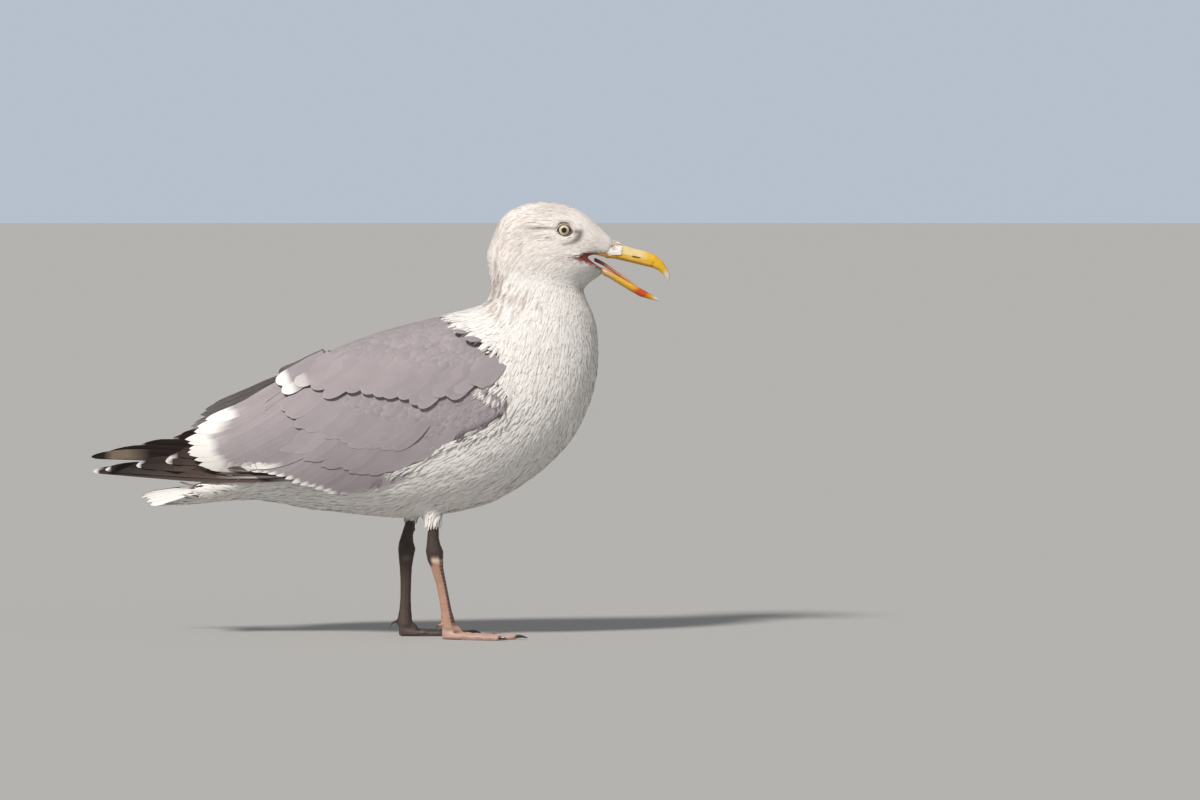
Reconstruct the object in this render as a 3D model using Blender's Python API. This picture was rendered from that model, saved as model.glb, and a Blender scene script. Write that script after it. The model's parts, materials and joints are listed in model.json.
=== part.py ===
"""Herring gull, adult in winter plumage, standing: the solid model.

Metres, +Z up. The bird faces +X, its left side is +Y. The soles stand on Z = 0 and the whole model's box is
centred on X = Y = 0. Lengths in the tables below are millimetres.
"""

from __future__ import annotations

import math
from dataclasses import dataclass, replace

import bmesh
import bpy
from mathutils import Vector
from mathutils.bvhtree import BVHTree

MM = 0.001
GAP = 0.3  # air left between neighbouring solids
CUT_GAP = 0.45  # how much a cutter is larger than the piece it makes room for

# Driving dimensions of the stance and the parts, in millimetres.
STANCE_HALF_WIDTH = 24.0
EYE_CENTRE = (165.6, 367.2)
EYE_RADIUS = 7.0
EYE_SPREAD = 17.6
LEFT_WING_LIFT = 10.0
WING_THICKNESS = 6.5
WING_EDGE_THICKNESS = 1.6
WING_SINK = 0.6
WING_COLUMNS = 7
WING_MIDDLE_DROP = 8.0  # the wing's angles are measured from this far below its middle
WING_ROOM_OUTWARDS = 12.0  # how far the wing's room in the trunk goes on outwards
RIDGE_HALF_GAP = 5.0

RING = 24  # points round the body
BILL_RING = 14
LEG_RING = 12
CLAW_RING = 6


@dataclass(frozen=True)
class Section:
    """One cross-section: its back and belly points in the X-Z plane, its half width and its shape."""

    back: tuple
    belly: tuple
    half_width: float
    squareness: float = 2.15
    taper: float = 0.06

    def values(self):
        """The numbers that are blended between two sections."""
        return (*self.back, *self.belly, self.half_width, self.squareness, self.taper)

    @classmethod
    def of(cls, values):
        """The section that holds these blended numbers."""
        return cls(tuple(values[0:2]), tuple(values[2:4]), *values[4:7])

    def ahead(self):
        """The unit direction across the section, towards the bill."""
        along_x = self.back[0] - self.belly[0]
        along_z = self.back[1] - self.belly[1]
        length = math.hypot(along_x, along_z)
        return (along_z / length, -along_x / length)

    def moved(self, distance):
        """The same section, moved towards the bill."""
        step_x, step_z = (distance * part for part in self.ahead())
        back = (self.back[0] + step_x, self.back[1] + step_z)
        belly = (self.belly[0] + step_x, self.belly[1] + step_z)
        return replace(self, back=back, belly=belly)

    def ring(self, count):
        """The section's outline as points, from the back round the right side."""
        points = []
        for index in range(count):
            turn = math.tau * index / count
            up = signed_power(math.cos(turn), 2 / self.squareness)
            out = signed_power(math.sin(turn), 2 / self.squareness)
            share = (1 + up) / 2
            x = self.belly[0] + (self.back[0] - self.belly[0]) * share
            z = self.belly[1] + (self.back[1] - self.belly[1]) * share
            points.append((x, -self.half_width * out * (1 - self.taper * up), z))
        return points


# The plumage's outer form, folded wings included, from the tips of the tertials to the base of the neck.
ENVELOPE_REAR = [
    Section((-174, 179), (-173, 160), 18),
    Section((-160, 195), (-160, 150), 28, 2.3),
    Section((-140, 209.5), (-140, 142), 36, 2.4),
    Section((-112, 222.5), (-112, 132), 45, 2.4),
    Section((-74, 243), (-70, 118), 55, 2.3),
]
# The trunk alone behind the shoulders: the rump and the vent, hidden above by the wings.
TRUNK_REAR = [
    Section((-190, 129), (-190, 119.5), 13),
    Section((-165, 142), (-165, 120.5), 24),
    Section((-138, 160), (-138, 123.5), 31),
    Section((-112, 196), (-112, 124.5), 34),
    Section((-90, 232), (-90, 121.0), 38),
    Section((-62, 250.5), (-62, 115.5), 47),
]
BREAST = [
    Section((-36, 263.5), (-28, 112), 62),
    Section((0, 276.5), (12, 108), 66),
    Section((36, 286), (52, 110.3), 67.5),
    Section((66, 293.8), (100, 121.5), 66.5),
    Section((84, 298), (142, 147), 63),
    Section((94, 301.5), (173, 178), 56.5),
    Section((98, 306.5), (190, 214), 50),
    Section((99, 314), (196.8, 251), 43),
    Section((98.5, 322), (195, 281), 37),
]
NECK = [
    Section((98.5, 322), (195, 281), 37),
    Section((97.5, 331), (190, 296.5), 33.3),
    Section((95.8, 339), (184.5, 308), 31),
    Section((95.3, 346), (182, 313.2), 29.6),
]
HEAD = [
    Section((95.3, 346), (182, 313.2), 29.6, 2.15, 0.06),
    Section((100.5, 360), (184.5, 316), 28.7, 2.15, 0.1),
    Section((109, 379), (187.5, 318.6), 27.7, 2.15, 0.13),
    Section((126, 389.7), (190, 320.8), 26.5, 2.15, 0.16),
    Section((146, 393.2), (192.5, 322.4), 24.6, 2.15, 0.16),
    Section((166, 390.6), (195, 323.9), 21.8, 2.1, 0.14),
    Section((183, 383.4), (197.3, 325.4), 18.0, 2.1, 0.08),
    Section((198, 369.6), (199.2, 326.8), 13.4, 2.1, 0.0),
    Section((211, 357.9), (201, 328), 8.6, 2.1, 0.0),
]
BILL_UPPER = [
    Section((211.4, 357.6), (206.2, 342.2), 7.9, 2.3, 0.25),
    Section((218.5, 353.7), (216, 340.2), 7.1, 2.3, 0.3),
    Section((227.5, 350.9), (226, 337.8), 6.2, 2.3, 0.3),
    Section((238.5, 348.3), (236.5, 335.2), 5.3, 2.2, 0.3),
    Section((247.5, 344.6), (244.5, 333.4), 4.6, 2.2, 0.25),
    Section((254.2, 339), (250, 331.2), 3.7, 2.1, 0.2),
    Section((258.5, 332.6), (253.6, 328.4), 2.8, 2.0, 0.1),
    Section((260.5, 326.6), (256.8, 324.6), 1.7, 2.0, 0.0),
    Section((260.2, 322.2), (258.8, 321.6), 0.6, 2.0, 0.0),
]
BILL_LOWER = [
    Section((200.2, 334.2), (202.8, 325.6), 6.9, 2.3, -0.15),
    Section((210.2, 328.3), (213, 319.4), 6.2, 2.3, -0.2),
    Section((222, 321.6), (224.2, 312.6), 5.4, 2.3, -0.2),
    Section((233, 315.3), (234, 307.1), 4.7, 2.2, -0.15),
    Section((241.5, 310.6), (242.8, 304.8), 3.4, 2.1, -0.1),
    Section((247.4, 307), (248.2, 303.6), 2.0, 2.0, 0.0),
    Section((250.6, 304.9), (250.9, 303.9), 0.6, 2.0, 0.0),
]


@dataclass(frozen=True)
class WingRib:
    """One rib of the folded wing, from its upper edge to its lower edge, in the X-Z plane."""

    top: tuple
    bottom: tuple
    thickness: float

    def values(self):
        """The numbers that are blended between two ribs."""
        return (*self.top, *self.bottom, self.thickness)

    @classmethod
    def of(cls, values):
        """The rib that holds these blended numbers."""
        return cls(tuple(values[0:2]), tuple(values[2:4]), values[4])


# From the bend of the wing back to the tips of the tertials; the last value scales the thickness.
WING = [
    WingRib((116.5, 216.5), (116.5, 211.5), 0.5),
    WingRib((106, 227), (108, 202.5), 0.9),
    WingRib((88, 231), (88, 190.8), 1.0),
    WingRib((54, 226.5), (54, 177.3), 1.0),
    WingRib((28, 224.8), (30, 160), 1.0),
    WingRib((2, 226.5), (2, 141), 1.0),
    WingRib((-30, 231), (-30, 133.6), 0.95),
    WingRib((-58, 235.5), (-54, 138.6), 0.85),
    WingRib((-82, 233), (-80, 151), 0.7),
    WingRib((-104, 250), (-104, 156.0), 0.6),
    WingRib((-138, 240), (-138, 155.6), 0.5),
    WingRib((-157, 220), (-157, 155.4), 0.4),
    WingRib((-168, 200), (-168, 161.5), 0.32),
    WingRib((-172.6, 190), (-172.6, 168.5), 0.28),
]


@dataclass(frozen=True)
class Blade:
    """One cross-section of the folded primaries: its place along X, its height, its middle and its lean."""

    x: float
    top: float
    bottom: float
    middle: float
    thickness: float
    lean: float

    def ring(self, count):
        """The outline as points; the lean carries the upper edge inwards."""
        points = []
        for index in range(count):
            turn = math.tau * index / count
            up = math.cos(turn)
            out = math.sin(turn) * abs(math.sin(turn)) ** 0.5
            z = (self.top + self.bottom) / 2 + up * (self.top - self.bottom) / 2
            y = self.middle + self.lean * up + out * self.thickness / 2
            points.append((self.x, y, z))
        return points


# Middles are Y, so the tips cross: the left blade lies over the right one.
PRIMARIES_RIGHT = [
    Blade(-70, 158, 141.0, -42.0, 2.0, 1.0),
    Blade(-100, 167, 140.0, -36.5, 3.2, 3.0),
    Blade(-135, 171, 140.5, -25.5, 4.0, 4.0),
    Blade(-158, 172.3, 141.1, -15.0, 4.0, 4.5),
    Blade(-176, 171.6, 141.7, -9.0, 4.0, 4.5),
    Blade(-198, 163.8, 143.0, -5.5, 3.6, 4.0),
    Blade(-216, 159.3, 144.6, -1.5, 3.0, 3.5),
    Blade(-234, 157, 146.0, 3.0, 2.4, 3.0),
    Blade(-252, 153.6, 147.2, 7.0, 1.6, 2.0),
    Blade(-259.5, 150.4, 148.6, 9.0, 0.8, 0.5),
]
PRIMARIES_LEFT = [
    Blade(-70, 168, 149.0, 42.5, 2.0, -1.0),
    Blade(-100, 178, 151.5, 36.5, 3.2, -3.0),
    Blade(-135, 186, 157.5, 26.0, 4.0, -4.0),
    Blade(-158, 189.5, 162.5, 15.0, 4.0, -4.5),
    Blade(-176, 188, 165.2, 9.0, 4.0, -4.5),
    Blade(-198, 180.5, 165.6, 4.0, 3.6, -4.0),
    Blade(-216, 175.8, 163.8, -0.5, 3.0, -3.5),
    Blade(-234, 172, 162.2, -5.5, 2.4, -3.0),
    Blade(-252, 168, 161.4, -10.0, 1.6, -2.0),
    Blade(-261, 163.9, 162.3, -12.5, 0.8, -0.5),
]


@dataclass(frozen=True)
class TailRib:
    """One cross-section of the folded tail: an arched bar, high in the middle."""

    x: float
    ridge: float
    half_width: float
    droop: float
    thickness: float

    def ring(self, count):
        """The outline as points, over the top and back below."""
        half = count // 2
        across = [math.cos(math.pi * index / half) for index in range(half + 1)]
        points = []
        for share in across:
            lift = self.thickness * (0.25 + 0.75 * (1 - share**4))
            level = self.ridge - self.thickness - self.droop * share**2
            points.append((self.x, self.half_width * share, level + lift))
        for share in reversed(across[1:-1]):
            level = self.ridge - self.thickness - self.droop * share**2
            points.append((self.x, self.half_width * share, level))
        return points


TAIL = [
    TailRib(-148, 141.0, 16, 5.0, 5.0),
    TailRib(-170, 139.2, 23, 9.0, 4.6),
    TailRib(-190, 136.2, 26, 12.0, 4.0),
    TailRib(-204, 133.0, 27, 13.0, 3.2),
    TailRib(-211, 130.2, 25, 12.0, 2.2),
    TailRib(-214, 128.4, 20, 9.0, 1.2),
]


@dataclass(frozen=True)
class Bone:
    """One level cross-section of a limb: its centre and its half sizes along X and Y."""

    x: float
    y: float
    z: float
    half_x: float
    half_y: float

    def ring(self, count):
        """The outline as points."""
        points = []
        for index in range(count):
            turn = math.tau * index / count
            x, y = self.x + self.half_x * math.cos(turn), self.y + self.half_y * math.sin(turn)
            points.append((x, y, self.z))
        return points


@dataclass(frozen=True)
class Leg:
    """One leg: the side it is on, its sections from the thigh down, and its foot's turn outwards."""

    name: str
    side: int
    thigh: tuple
    shank: tuple
    foot_x: float
    yaw: float


# Sections are (x, z, half size along X, half size along Y), from the top down.
RIGHT_LEG = Leg(
    name="right",
    side=-1,
    thigh=((44, 128, 15, 12), (46, 117, 12.5, 10.5), (47.8, 108, 9.6, 8.2), (48.6, 102, 6.8, 6.2)),
    shank=(
        (48.4, 101.5, 5.0, 4.4),
        (47.9, 91, 5.3, 4.5),
        (48.4, 85, 6.3, 5.0),
        (49.3, 79, 8.0, 5.4),
        (50.0, 71, 7.1, 4.9),
        (51.6, 64, 5.6, 3.9),
        (55.2, 50, 4.7, 3.4),
        (58.0, 36, 4.6, 3.4),
        (59.9, 25, 5.0, 3.8),
        (61.8, 14, 6.5, 5.0),
        (62.6, 9.2, 7.2, 5.6),
    ),
    foot_x=63.0,
    yaw=-3.0,
)
LEFT_LEG = Leg(
    name="left",
    side=1,
    thigh=((29, 128, 14, 12), (28.2, 118, 11.5, 10), (27.3, 110, 8.8, 7.8), (26.9, 104.5, 6.6, 6.0)),
    shank=(
        (26.8, 104, 4.9, 4.4),
        (23.4, 91, 5.4, 4.5),
        (22.6, 85, 6.6, 5.0),
        (23.1, 79, 8.0, 5.4),
        (22.5, 71, 6.8, 4.8),
        (22.2, 62, 5.6, 3.9),
        (22.2, 49, 4.9, 3.4),
        (22.0, 35, 4.8, 3.4),
        (21.7, 24, 5.4, 3.8),
        (21.2, 14, 7.0, 5.0),
        (21.6, 9.2, 7.4, 5.6),
    ),
    foot_x=23.0,
    yaw=17.0,
)


@dataclass(frozen=True)
class Toe:
    """One front toe: its name, its turn away from the middle one, its length, half width and claw length."""

    name: str
    turn: float
    length: float
    half_width: float
    claw: float


TOES = (
    Toe("outer", -23.0, 50.0, 2.7, 8.5),
    Toe("middle", 0.0, 60.0, 2.9, 10.5),
    Toe("inner", 24.0, 41.0, 2.6, 8.5),
)
TOE_ROOT_HEIGHT = 8.2
TOE_TIP_HEIGHT = 4.4
TOE_COLUMNS = (-1, -0.55, 0, 0.55, 1)  # across a toe, as shares of its half width
SOLE_CLEAR = 0.5  # how far the webs are off the ground
WEB_THICKNESS = 0.9
WEB_REACH = 0.9  # of the shorter of its two toes
FOOT_ROWS = 8
HEEL_BEHIND = 6.0
HEEL_HALF_WIDTH = 5.4
HEEL_TOP = 8.8
CLAW_HEIGHT = 2.7
CLAW_RADIUS = 1.9
CLAW_TIP_HEIGHT = 0.9
HALLUX_HEIGHT = 13.2
HALLUX_LENGTH = 4.2
HALLUX_DROP = 1.2
HALLUX_RADIUS = 2.0
HALLUX_SPLAY = 25.0
HIND_CLAW = 4.5
HIND_CLAW_RADIUS = 1.2

# The open mouth's cut through the head, seen from the side, starting at the gape.
MOUTH_PROFILE = (
    (170, 344.2),
    (188, 346.2),
    (204, 345.2),
    (230, 340),
    (230, 316),
    (200.5, 333.4),
    (188, 338.6),
)
MOUTH_HALF_SPAN = 40.0
TONGUE_ROOT = (193.0, 340.6)
TONGUE_LENGTH = 44.0
TONGUE_DROP = 25.0


def signed_power(value, exponent):
    """The power of a number's size, with the number's sign."""
    return math.copysign(abs(value) ** exponent, value)


def blended(rows, steps):
    """The sections or ribs with more between them, on a Catmull-Rom curve."""
    kind = type(rows[0])
    values = [row.values() for row in rows]
    last = len(values) - 1
    made = []
    for index in range(last):
        before = values[max(index - 1, 0)]
        start, end = values[index], values[index + 1]
        after = values[min(index + 2, last)]
        for step in range(steps):
            made.append(kind.of(catmull(before, start, end, after, step / steps)))
    made.append(kind.of(values[last]))
    return made


def catmull(before, start, end, after, share):
    """One point of a Catmull-Rom span, number by number."""
    squared, cubed = share**2, share**3
    weights = (
        -share + 2 * squared - cubed,
        2 - 5 * squared + 3 * cubed,
        share + 4 * squared - 3 * cubed,
        cubed - squared,
    )
    rows = zip(before, start, end, after)
    return [sum(weight * number for weight, number in zip(weights, row)) / 2 for row in rows]


def loft(name, rings):
    """A closed mesh object through rings of as many points each, given in millimetres."""
    shape = bmesh.new()
    rows = [[shape.verts.new(Vector(point) * MM) for point in ring] for ring in rings]
    count = len(rows[0])
    for first, second in zip(rows, rows[1:]):
        for index in range(count):
            after = (index + 1) % count
            shape.faces.new((first[index], first[after], second[after], second[index]))
    shape.faces.new(reversed(rows[0]))
    shape.faces.new(rows[-1])
    return finished(name, shape)


def grid_slab(name, outer, inner):
    """A closed mesh object between two grids of points of the same size, given in millimetres."""
    shape = bmesh.new()
    sheets = [
        [[shape.verts.new(Vector(point) * MM) for point in row] for row in sheet] for sheet in (outer, inner)
    ]
    rows, columns = len(outer), len(outer[0])
    for sheet in sheets:
        for row in range(rows - 1):
            for column in range(columns - 1):
                shape.faces.new(
                    (
                        sheet[row][column],
                        sheet[row][column + 1],
                        sheet[row + 1][column + 1],
                        sheet[row + 1][column],
                    )
                )
    for first, second in zip(rim_of(rows, columns), rim_of(rows, columns)[1:]):
        corners = [sheets[0][first[0]][first[1]], sheets[0][second[0]][second[1]]]
        corners += [sheets[1][second[0]][second[1]], sheets[1][first[0]][first[1]]]
        shape.faces.new(corners)
    return finished(name, shape)


def rim_of(rows, columns):
    """The places round the edge of a grid, closed."""
    rim = [(0, column) for column in range(columns)]
    rim += [(row, columns - 1) for row in range(1, rows)]
    rim += [(rows - 1, column) for column in range(columns - 2, -1, -1)]
    rim += [(row, 0) for row in range(rows - 2, -1, -1)]
    return rim


def finished(name, shape):
    """The object of a bmesh, with its faces turned outwards."""
    bmesh.ops.recalc_face_normals(shape, faces=shape.faces)
    bmesh.ops.triangulate(shape, faces=shape.faces)
    mesh = bpy.data.meshes.new(name)
    shape.to_mesh(mesh)
    shape.free()
    mesh.shade_smooth()
    mesh.set_sharp_from_angle(angle=math.radians(50))
    thing = bpy.data.objects.new(name, mesh)
    bpy.context.scene.collection.objects.link(thing)
    return thing


def swollen(thing, grow=CUT_GAP):
    """A hidden cutter: a copy of the object, larger by a little all round."""
    cutter = bpy.data.objects.new(thing.name + "_room", thing.data.copy())
    bpy.context.scene.collection.objects.link(cutter)
    shape = bmesh.new()
    shape.from_mesh(cutter.data)
    shape.normal_update()
    places = {vert: vert.co + vert.normal * (grow * MM * vert.calc_shell_factor()) for vert in shape.verts}
    for vert, place in places.items():
        vert.co = place
    shape.to_mesh(cutter.data)
    shape.free()
    return as_helper(cutter)


def as_helper(thing):
    """Marks an object as a guide that isn't part of the model."""
    thing.hide_render = True
    thing.display_type = "WIRE"
    return thing


def cut(target, *cutters):
    """Takes each cutter out of the target."""
    for cutter in cutters:
        modifier = target.modifiers.new("room for " + cutter.name, "BOOLEAN")
        modifier.operation = "DIFFERENCE"
        modifier.solver = "EXACT"
        modifier.object = cutter


def finish(thing, colour, roughness):
    """Gives the object its own material."""
    material = bpy.data.materials.new(thing.name)
    material.use_nodes = True
    shader = material.node_tree.nodes["Principled BSDF"]
    shader.inputs["Base Color"].default_value = (*colour, 1.0)
    shader.inputs["Roughness"].default_value = roughness
    thing.data.materials.clear()
    thing.data.materials.append(material)


WHITE = (0.86, 0.85, 0.83)
MANTLE_GREY = (0.36, 0.34, 0.37)
WING_BLACK = (0.03, 0.022, 0.02)
BILL_YELLOW = (0.80, 0.55, 0.07)
LEG_PINK = (0.62, 0.36, 0.30)
MOUTH_RED = (0.45, 0.08, 0.06)
IRIS_YELLOW = (0.72, 0.66, 0.45)
CLAW_BLACK = (0.02, 0.017, 0.015)


def envelope_tree():
    """The plumage's outer form, as a tree that rays can hit."""
    sections = blended(ENVELOPE_REAR + BREAST, 3)
    guide = loft("envelope", [section.ring(3 * RING) for section in sections])
    shape = bmesh.new()
    shape.from_mesh(guide.data)
    tree = BVHTree.FromBMesh(shape)
    shape.free()
    bpy.data.objects.remove(guide)
    return tree


def half_width_at(tree, x, z):
    """How far the outer form reaches to the side at this place, or 0 above its ridge, in millimetres."""
    place = tree.ray_cast(Vector((x, -200.0, z)) * MM, Vector((0, 1, 0)))[0]
    return -place.y / MM if place else 0.0


def reach_at(tree, centre, angle):
    """How far the outer form is from a point on the middle plane, at an angle from straight up."""
    outwards = Vector((0, -math.sin(angle), math.cos(angle)))
    return tree.ray_cast(Vector(centre) * MM, outwards)[3] / MM


def wing_grids(tree, side, outwards=0.0, lift=0.0):
    """The outer and inner grids of one folded wing, laid round the outer form."""
    outer, inner = [], []
    for rib in blended(WING, 2):
        middle = (rib.top[1] + rib.bottom[1]) / 2 - WING_MIDDLE_DROP
        top_width = max(half_width_at(tree, *rib.top), RIDGE_HALF_GAP)
        top_angle = math.atan2(top_width, rib.top[1] - middle)
        bottom_angle = math.atan2(half_width_at(tree, *rib.bottom), rib.bottom[1] - middle)
        outer_row, inner_row = [], []
        for column in range(WING_COLUMNS + 1):
            share = column / WING_COLUMNS
            x = rib.top[0] + (rib.bottom[0] - rib.top[0]) * share
            angle = top_angle + (bottom_angle - top_angle) * share
            reach = reach_at(tree, (x, 0.0, middle), angle) - WING_SINK
            fullness = math.sin(math.pi * share) ** 0.6
            depth = WING_EDGE_THICKNESS + (WING_THICKNESS - WING_EDGE_THICKNESS) * fullness
            raised = middle + lift * smooth_step((-60 - x) / 70)
            for row, radius in ((outer_row, reach + outwards), (inner_row, reach - depth * rib.thickness)):
                row.append((x, side * radius * math.sin(angle), raised + radius * math.cos(angle)))
        outer.append(outer_row)
        inner.append(inner_row)
    return outer, inner


def smooth_step(share):
    """A soft change from 0 to 1."""
    share = min(max(share, 0.0), 1.0)
    return share * share * (3 - 2 * share)


def build_wings(trunk):
    """Both folded wings and their primaries, and the room for them in the trunk."""
    tree = envelope_tree()
    for name, side, lift, blades in (
        ("right", -1, 0.0, PRIMARIES_RIGHT),
        ("left", 1, LEFT_WING_LIFT, PRIMARIES_LEFT),
    ):
        wing = grid_slab("wing_" + name, *wing_grids(tree, side, lift=lift))
        finish(wing, MANTLE_GREY, 0.7)
        room = grid_slab("wing_room_" + name, *wing_grids(tree, side, WING_ROOM_OUTWARDS, lift))
        primaries = loft("primaries_" + name, [blade.ring(10) for blade in blades])
        finish(primaries, WING_BLACK, 0.55)
        cut(trunk, swollen(room), swollen(primaries))
        bpy.data.objects.remove(room)


def build_body():
    """The trunk, neck and head in one run of sections, parted by thin gaps."""
    trunk = loft("trunk", [section.ring(RING) for section in TRUNK_REAR + blended(BREAST, 2)])
    finish(trunk, WHITE, 0.8)
    neck_sections = blended(NECK, 2)
    neck_sections[0] = neck_sections[0].moved(GAP)
    neck = loft("neck", [section.ring(RING) for section in neck_sections])
    finish(neck, WHITE, 0.8)
    head_sections = blended(HEAD, 2)
    head_sections[0] = head_sections[0].moved(GAP)
    head = loft("head", [section.ring(RING) for section in head_sections])
    finish(head, WHITE, 0.8)
    return trunk, head


def build_mouth(head):
    """The bill, the tongue and the open mouth between them."""
    upper = loft("bill_upper", [section.moved(GAP).ring(BILL_RING) for section in BILL_UPPER])
    finish(upper, BILL_YELLOW, 0.35)
    lower = loft("bill_lower", [section.moved(GAP).ring(BILL_RING) for section in BILL_LOWER])
    finish(lower, BILL_YELLOW, 0.35)
    shape = bmesh.new()
    near = [shape.verts.new(Vector((x, -MOUTH_HALF_SPAN, z)) * MM) for x, z in MOUTH_PROFILE]
    sheet = shape.faces.new(near)
    swept = bmesh.ops.extrude_face_region(shape, geom=[sheet])["geom"]
    moved = [item for item in swept if isinstance(item, bmesh.types.BMVert)]
    bmesh.ops.translate(shape, verts=moved, vec=Vector((0, 2 * MOUTH_HALF_SPAN, 0)) * MM)
    cut(head, as_helper(finished("mouth_opening", shape)), swollen(upper), swollen(lower))
    rings = []
    for step in range(7):
        share = step / 6
        x = TONGUE_ROOT[0] + TONGUE_LENGTH * share
        z = TONGUE_ROOT[1] - TONGUE_DROP * share + 2.0 * math.sin(math.pi * share)
        half_width = 3.4 * (1 - share**3) + 0.35
        half_height = 1.1 * (1 - share**2) + 0.3
        rings.append(Section((x, z + half_height), (x, z - half_height), half_width, 2.2, 0.0).ring(8))
    finish(loft("tongue", rings), MOUTH_RED, 0.3)


def build_eyes(head):
    """Both eyes, each a ball that sits in a socket in the head."""
    for name, side in (("right", -1), ("left", 1)):
        shape = bmesh.new()
        bmesh.ops.create_uvsphere(shape, u_segments=14, v_segments=8, radius=EYE_RADIUS * MM)
        place = Vector((EYE_CENTRE[0], side * EYE_SPREAD, EYE_CENTRE[1])) * MM
        bmesh.ops.translate(shape, verts=shape.verts, vec=place)
        eye = finished("eye_" + name, shape)
        finish(eye, IRIS_YELLOW, 0.1)
        cut(head, swollen(eye))


def build_tail(trunk):
    """The folded tail, with its root in a slot between the coverts."""
    tail = loft("tail", [rib.ring(14) for rib in TAIL])
    finish(tail, WHITE, 0.75)
    cut(trunk, swollen(tail))


def limb(name, side, sections, colour, roughness):
    """A lofted limb from its level sections."""
    bones = [Bone(x, side * STANCE_HALF_WIDTH, z, half_x, half_y) for x, z, half_x, half_y in sections]
    thing = loft(name, [bone.ring(LEG_RING) for bone in bones])
    finish(thing, colour, roughness)
    return thing


def foot_columns():
    """The foot's columns from its outer to its inner edge.

    Each is a turn, a reach, a sideways shift and a fullness, which is 0 on a web.
    """
    columns = []
    for index, toe in enumerate(TOES):
        for part in TOE_COLUMNS:
            fullness = math.sqrt(1 - 0.85 * part**2)
            reach = toe.length * (1 - 0.06 * part**2)
            columns.append((toe.turn, reach, part * toe.half_width, fullness))
        if index + 1 < len(TOES):
            following = TOES[index + 1]
            reach = WEB_REACH * min(toe.length, following.length)
            columns.append(((toe.turn + following.turn) / 2, reach, 0.0, 0.0))
    return columns


def build_foot(leg):
    """One webbed foot with its claws and its hind toe."""
    base = Vector((leg.foot_x, leg.side * STANCE_HALF_WIDTH, 0))
    upper, lower = [], []
    for turn, reach, shift, fullness in foot_columns():
        heading = math.radians(leg.yaw - leg.side * turn)
        direction = Vector((math.cos(heading), math.sin(heading), 0))
        across = Vector((-direction.y, direction.x, 0)) * -leg.side
        upper_row, lower_row = [], []
        for row in range(FOOT_ROWS):
            share = row / (FOOT_ROWS - 1)
            place = base + direction * (reach * share - HEEL_BEHIND * (1 - share))
            heel_shift = HEEL_HALF_WIDTH * turn / TOES[-1].turn
            place += across * (heel_shift * (1 - share) ** 2 + shift * smooth_step(2.5 * share + 0.15))
            heel = HEEL_TOP * max(0.0, 1 - 2.6 * share) ** 1.2
            ridge = TOE_TIP_HEIGHT + (TOE_ROOT_HEIGHT - TOE_TIP_HEIGHT) * (1 - share) ** 2
            level = max(SOLE_CLEAR + WEB_THICKNESS, ridge * fullness, heel)
            sole = 0.0 if fullness else SOLE_CLEAR * smooth_step(3 * share)
            upper_row.append((place.x, place.y, level))
            lower_row.append((place.x, place.y, sole))
        upper.append(upper_row)
        lower.append(lower_row)
    foot = grid_slab("foot_" + leg.name, upper, lower)
    finish(foot, LEG_PINK, 0.5)
    for toe in TOES:
        heading = math.radians(leg.yaw - leg.side * toe.turn)
        start = base + Vector((math.cos(heading), math.sin(heading), 0)) * (toe.length + GAP)
        start.z = CLAW_HEIGHT
        claw(f"claw_{toe.name}_{leg.name}", start, heading, toe.claw, CLAW_RADIUS)
    build_hallux(leg)


def build_hallux(leg):
    """The small raised hind toe, just behind the shank's lower end, and its claw."""
    heading = math.radians(leg.yaw + 180 - HALLUX_SPLAY * leg.side)
    direction = Vector((math.cos(heading), math.sin(heading), 0))
    shank_x, _, shank_half_x, _ = leg.shank[-2]
    start = Vector((shank_x, leg.side * STANCE_HALF_WIDTH, HALLUX_HEIGHT))
    start += direction * (shank_half_x + 2 * GAP)
    rings = []
    for step in range(4):
        share = step / 3
        centre = start + direction * (HALLUX_LENGTH * share) - Vector((0, 0, HALLUX_DROP * share))
        rings.append(round_ring(centre, heading, HALLUX_RADIUS * (1 - 0.35 * share)))
    finish(loft("hallux_" + leg.name, rings), LEG_PINK, 0.5)
    tip = start + direction * (HALLUX_LENGTH + GAP) - Vector((0, 0, HALLUX_DROP))
    claw("claw_hind_" + leg.name, tip, heading, HIND_CLAW, HIND_CLAW_RADIUS)


def round_ring(centre, heading, radius, squash=1.0):
    """An upright circle of points that faces along the heading."""
    across = Vector((-math.sin(heading), math.cos(heading), 0))
    points = []
    for index in range(CLAW_RING):
        turn = math.tau * index / CLAW_RING
        point = centre + across * (radius * squash * math.cos(turn))
        point.z += radius * math.sin(turn)
        points.append(point)
    return points


def claw(name, start, heading, length, radius):
    """A short curved claw that tapers to a point near the ground."""
    direction = Vector((math.cos(heading), math.sin(heading), 0))
    rings = []
    for step in range(4):
        share = step / 3
        thickness = radius * (1 - 0.86 * share**1.2)
        rise = 0.5 * math.sin(math.pi * share) - 0.75 * (start.z - CLAW_TIP_HEIGHT) * share**2
        centre = start + direction * (length * share) + Vector((0, 0, rise))
        rings.append(round_ring(centre, heading, thickness, 0.8))
    finish(loft(name, rings), CLAW_BLACK, 0.4)


def build_legs(trunk):
    """Both legs, from the feathered thigh to the claws."""
    for leg in (RIGHT_LEG, LEFT_LEG):
        thigh = limb("thigh_" + leg.name, leg.side, leg.thigh, WHITE, 0.8)
        cut(trunk, swollen(thigh))
        limb("shank_" + leg.name, leg.side, leg.shank, LEG_PINK, 0.5)
        build_foot(leg)


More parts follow.
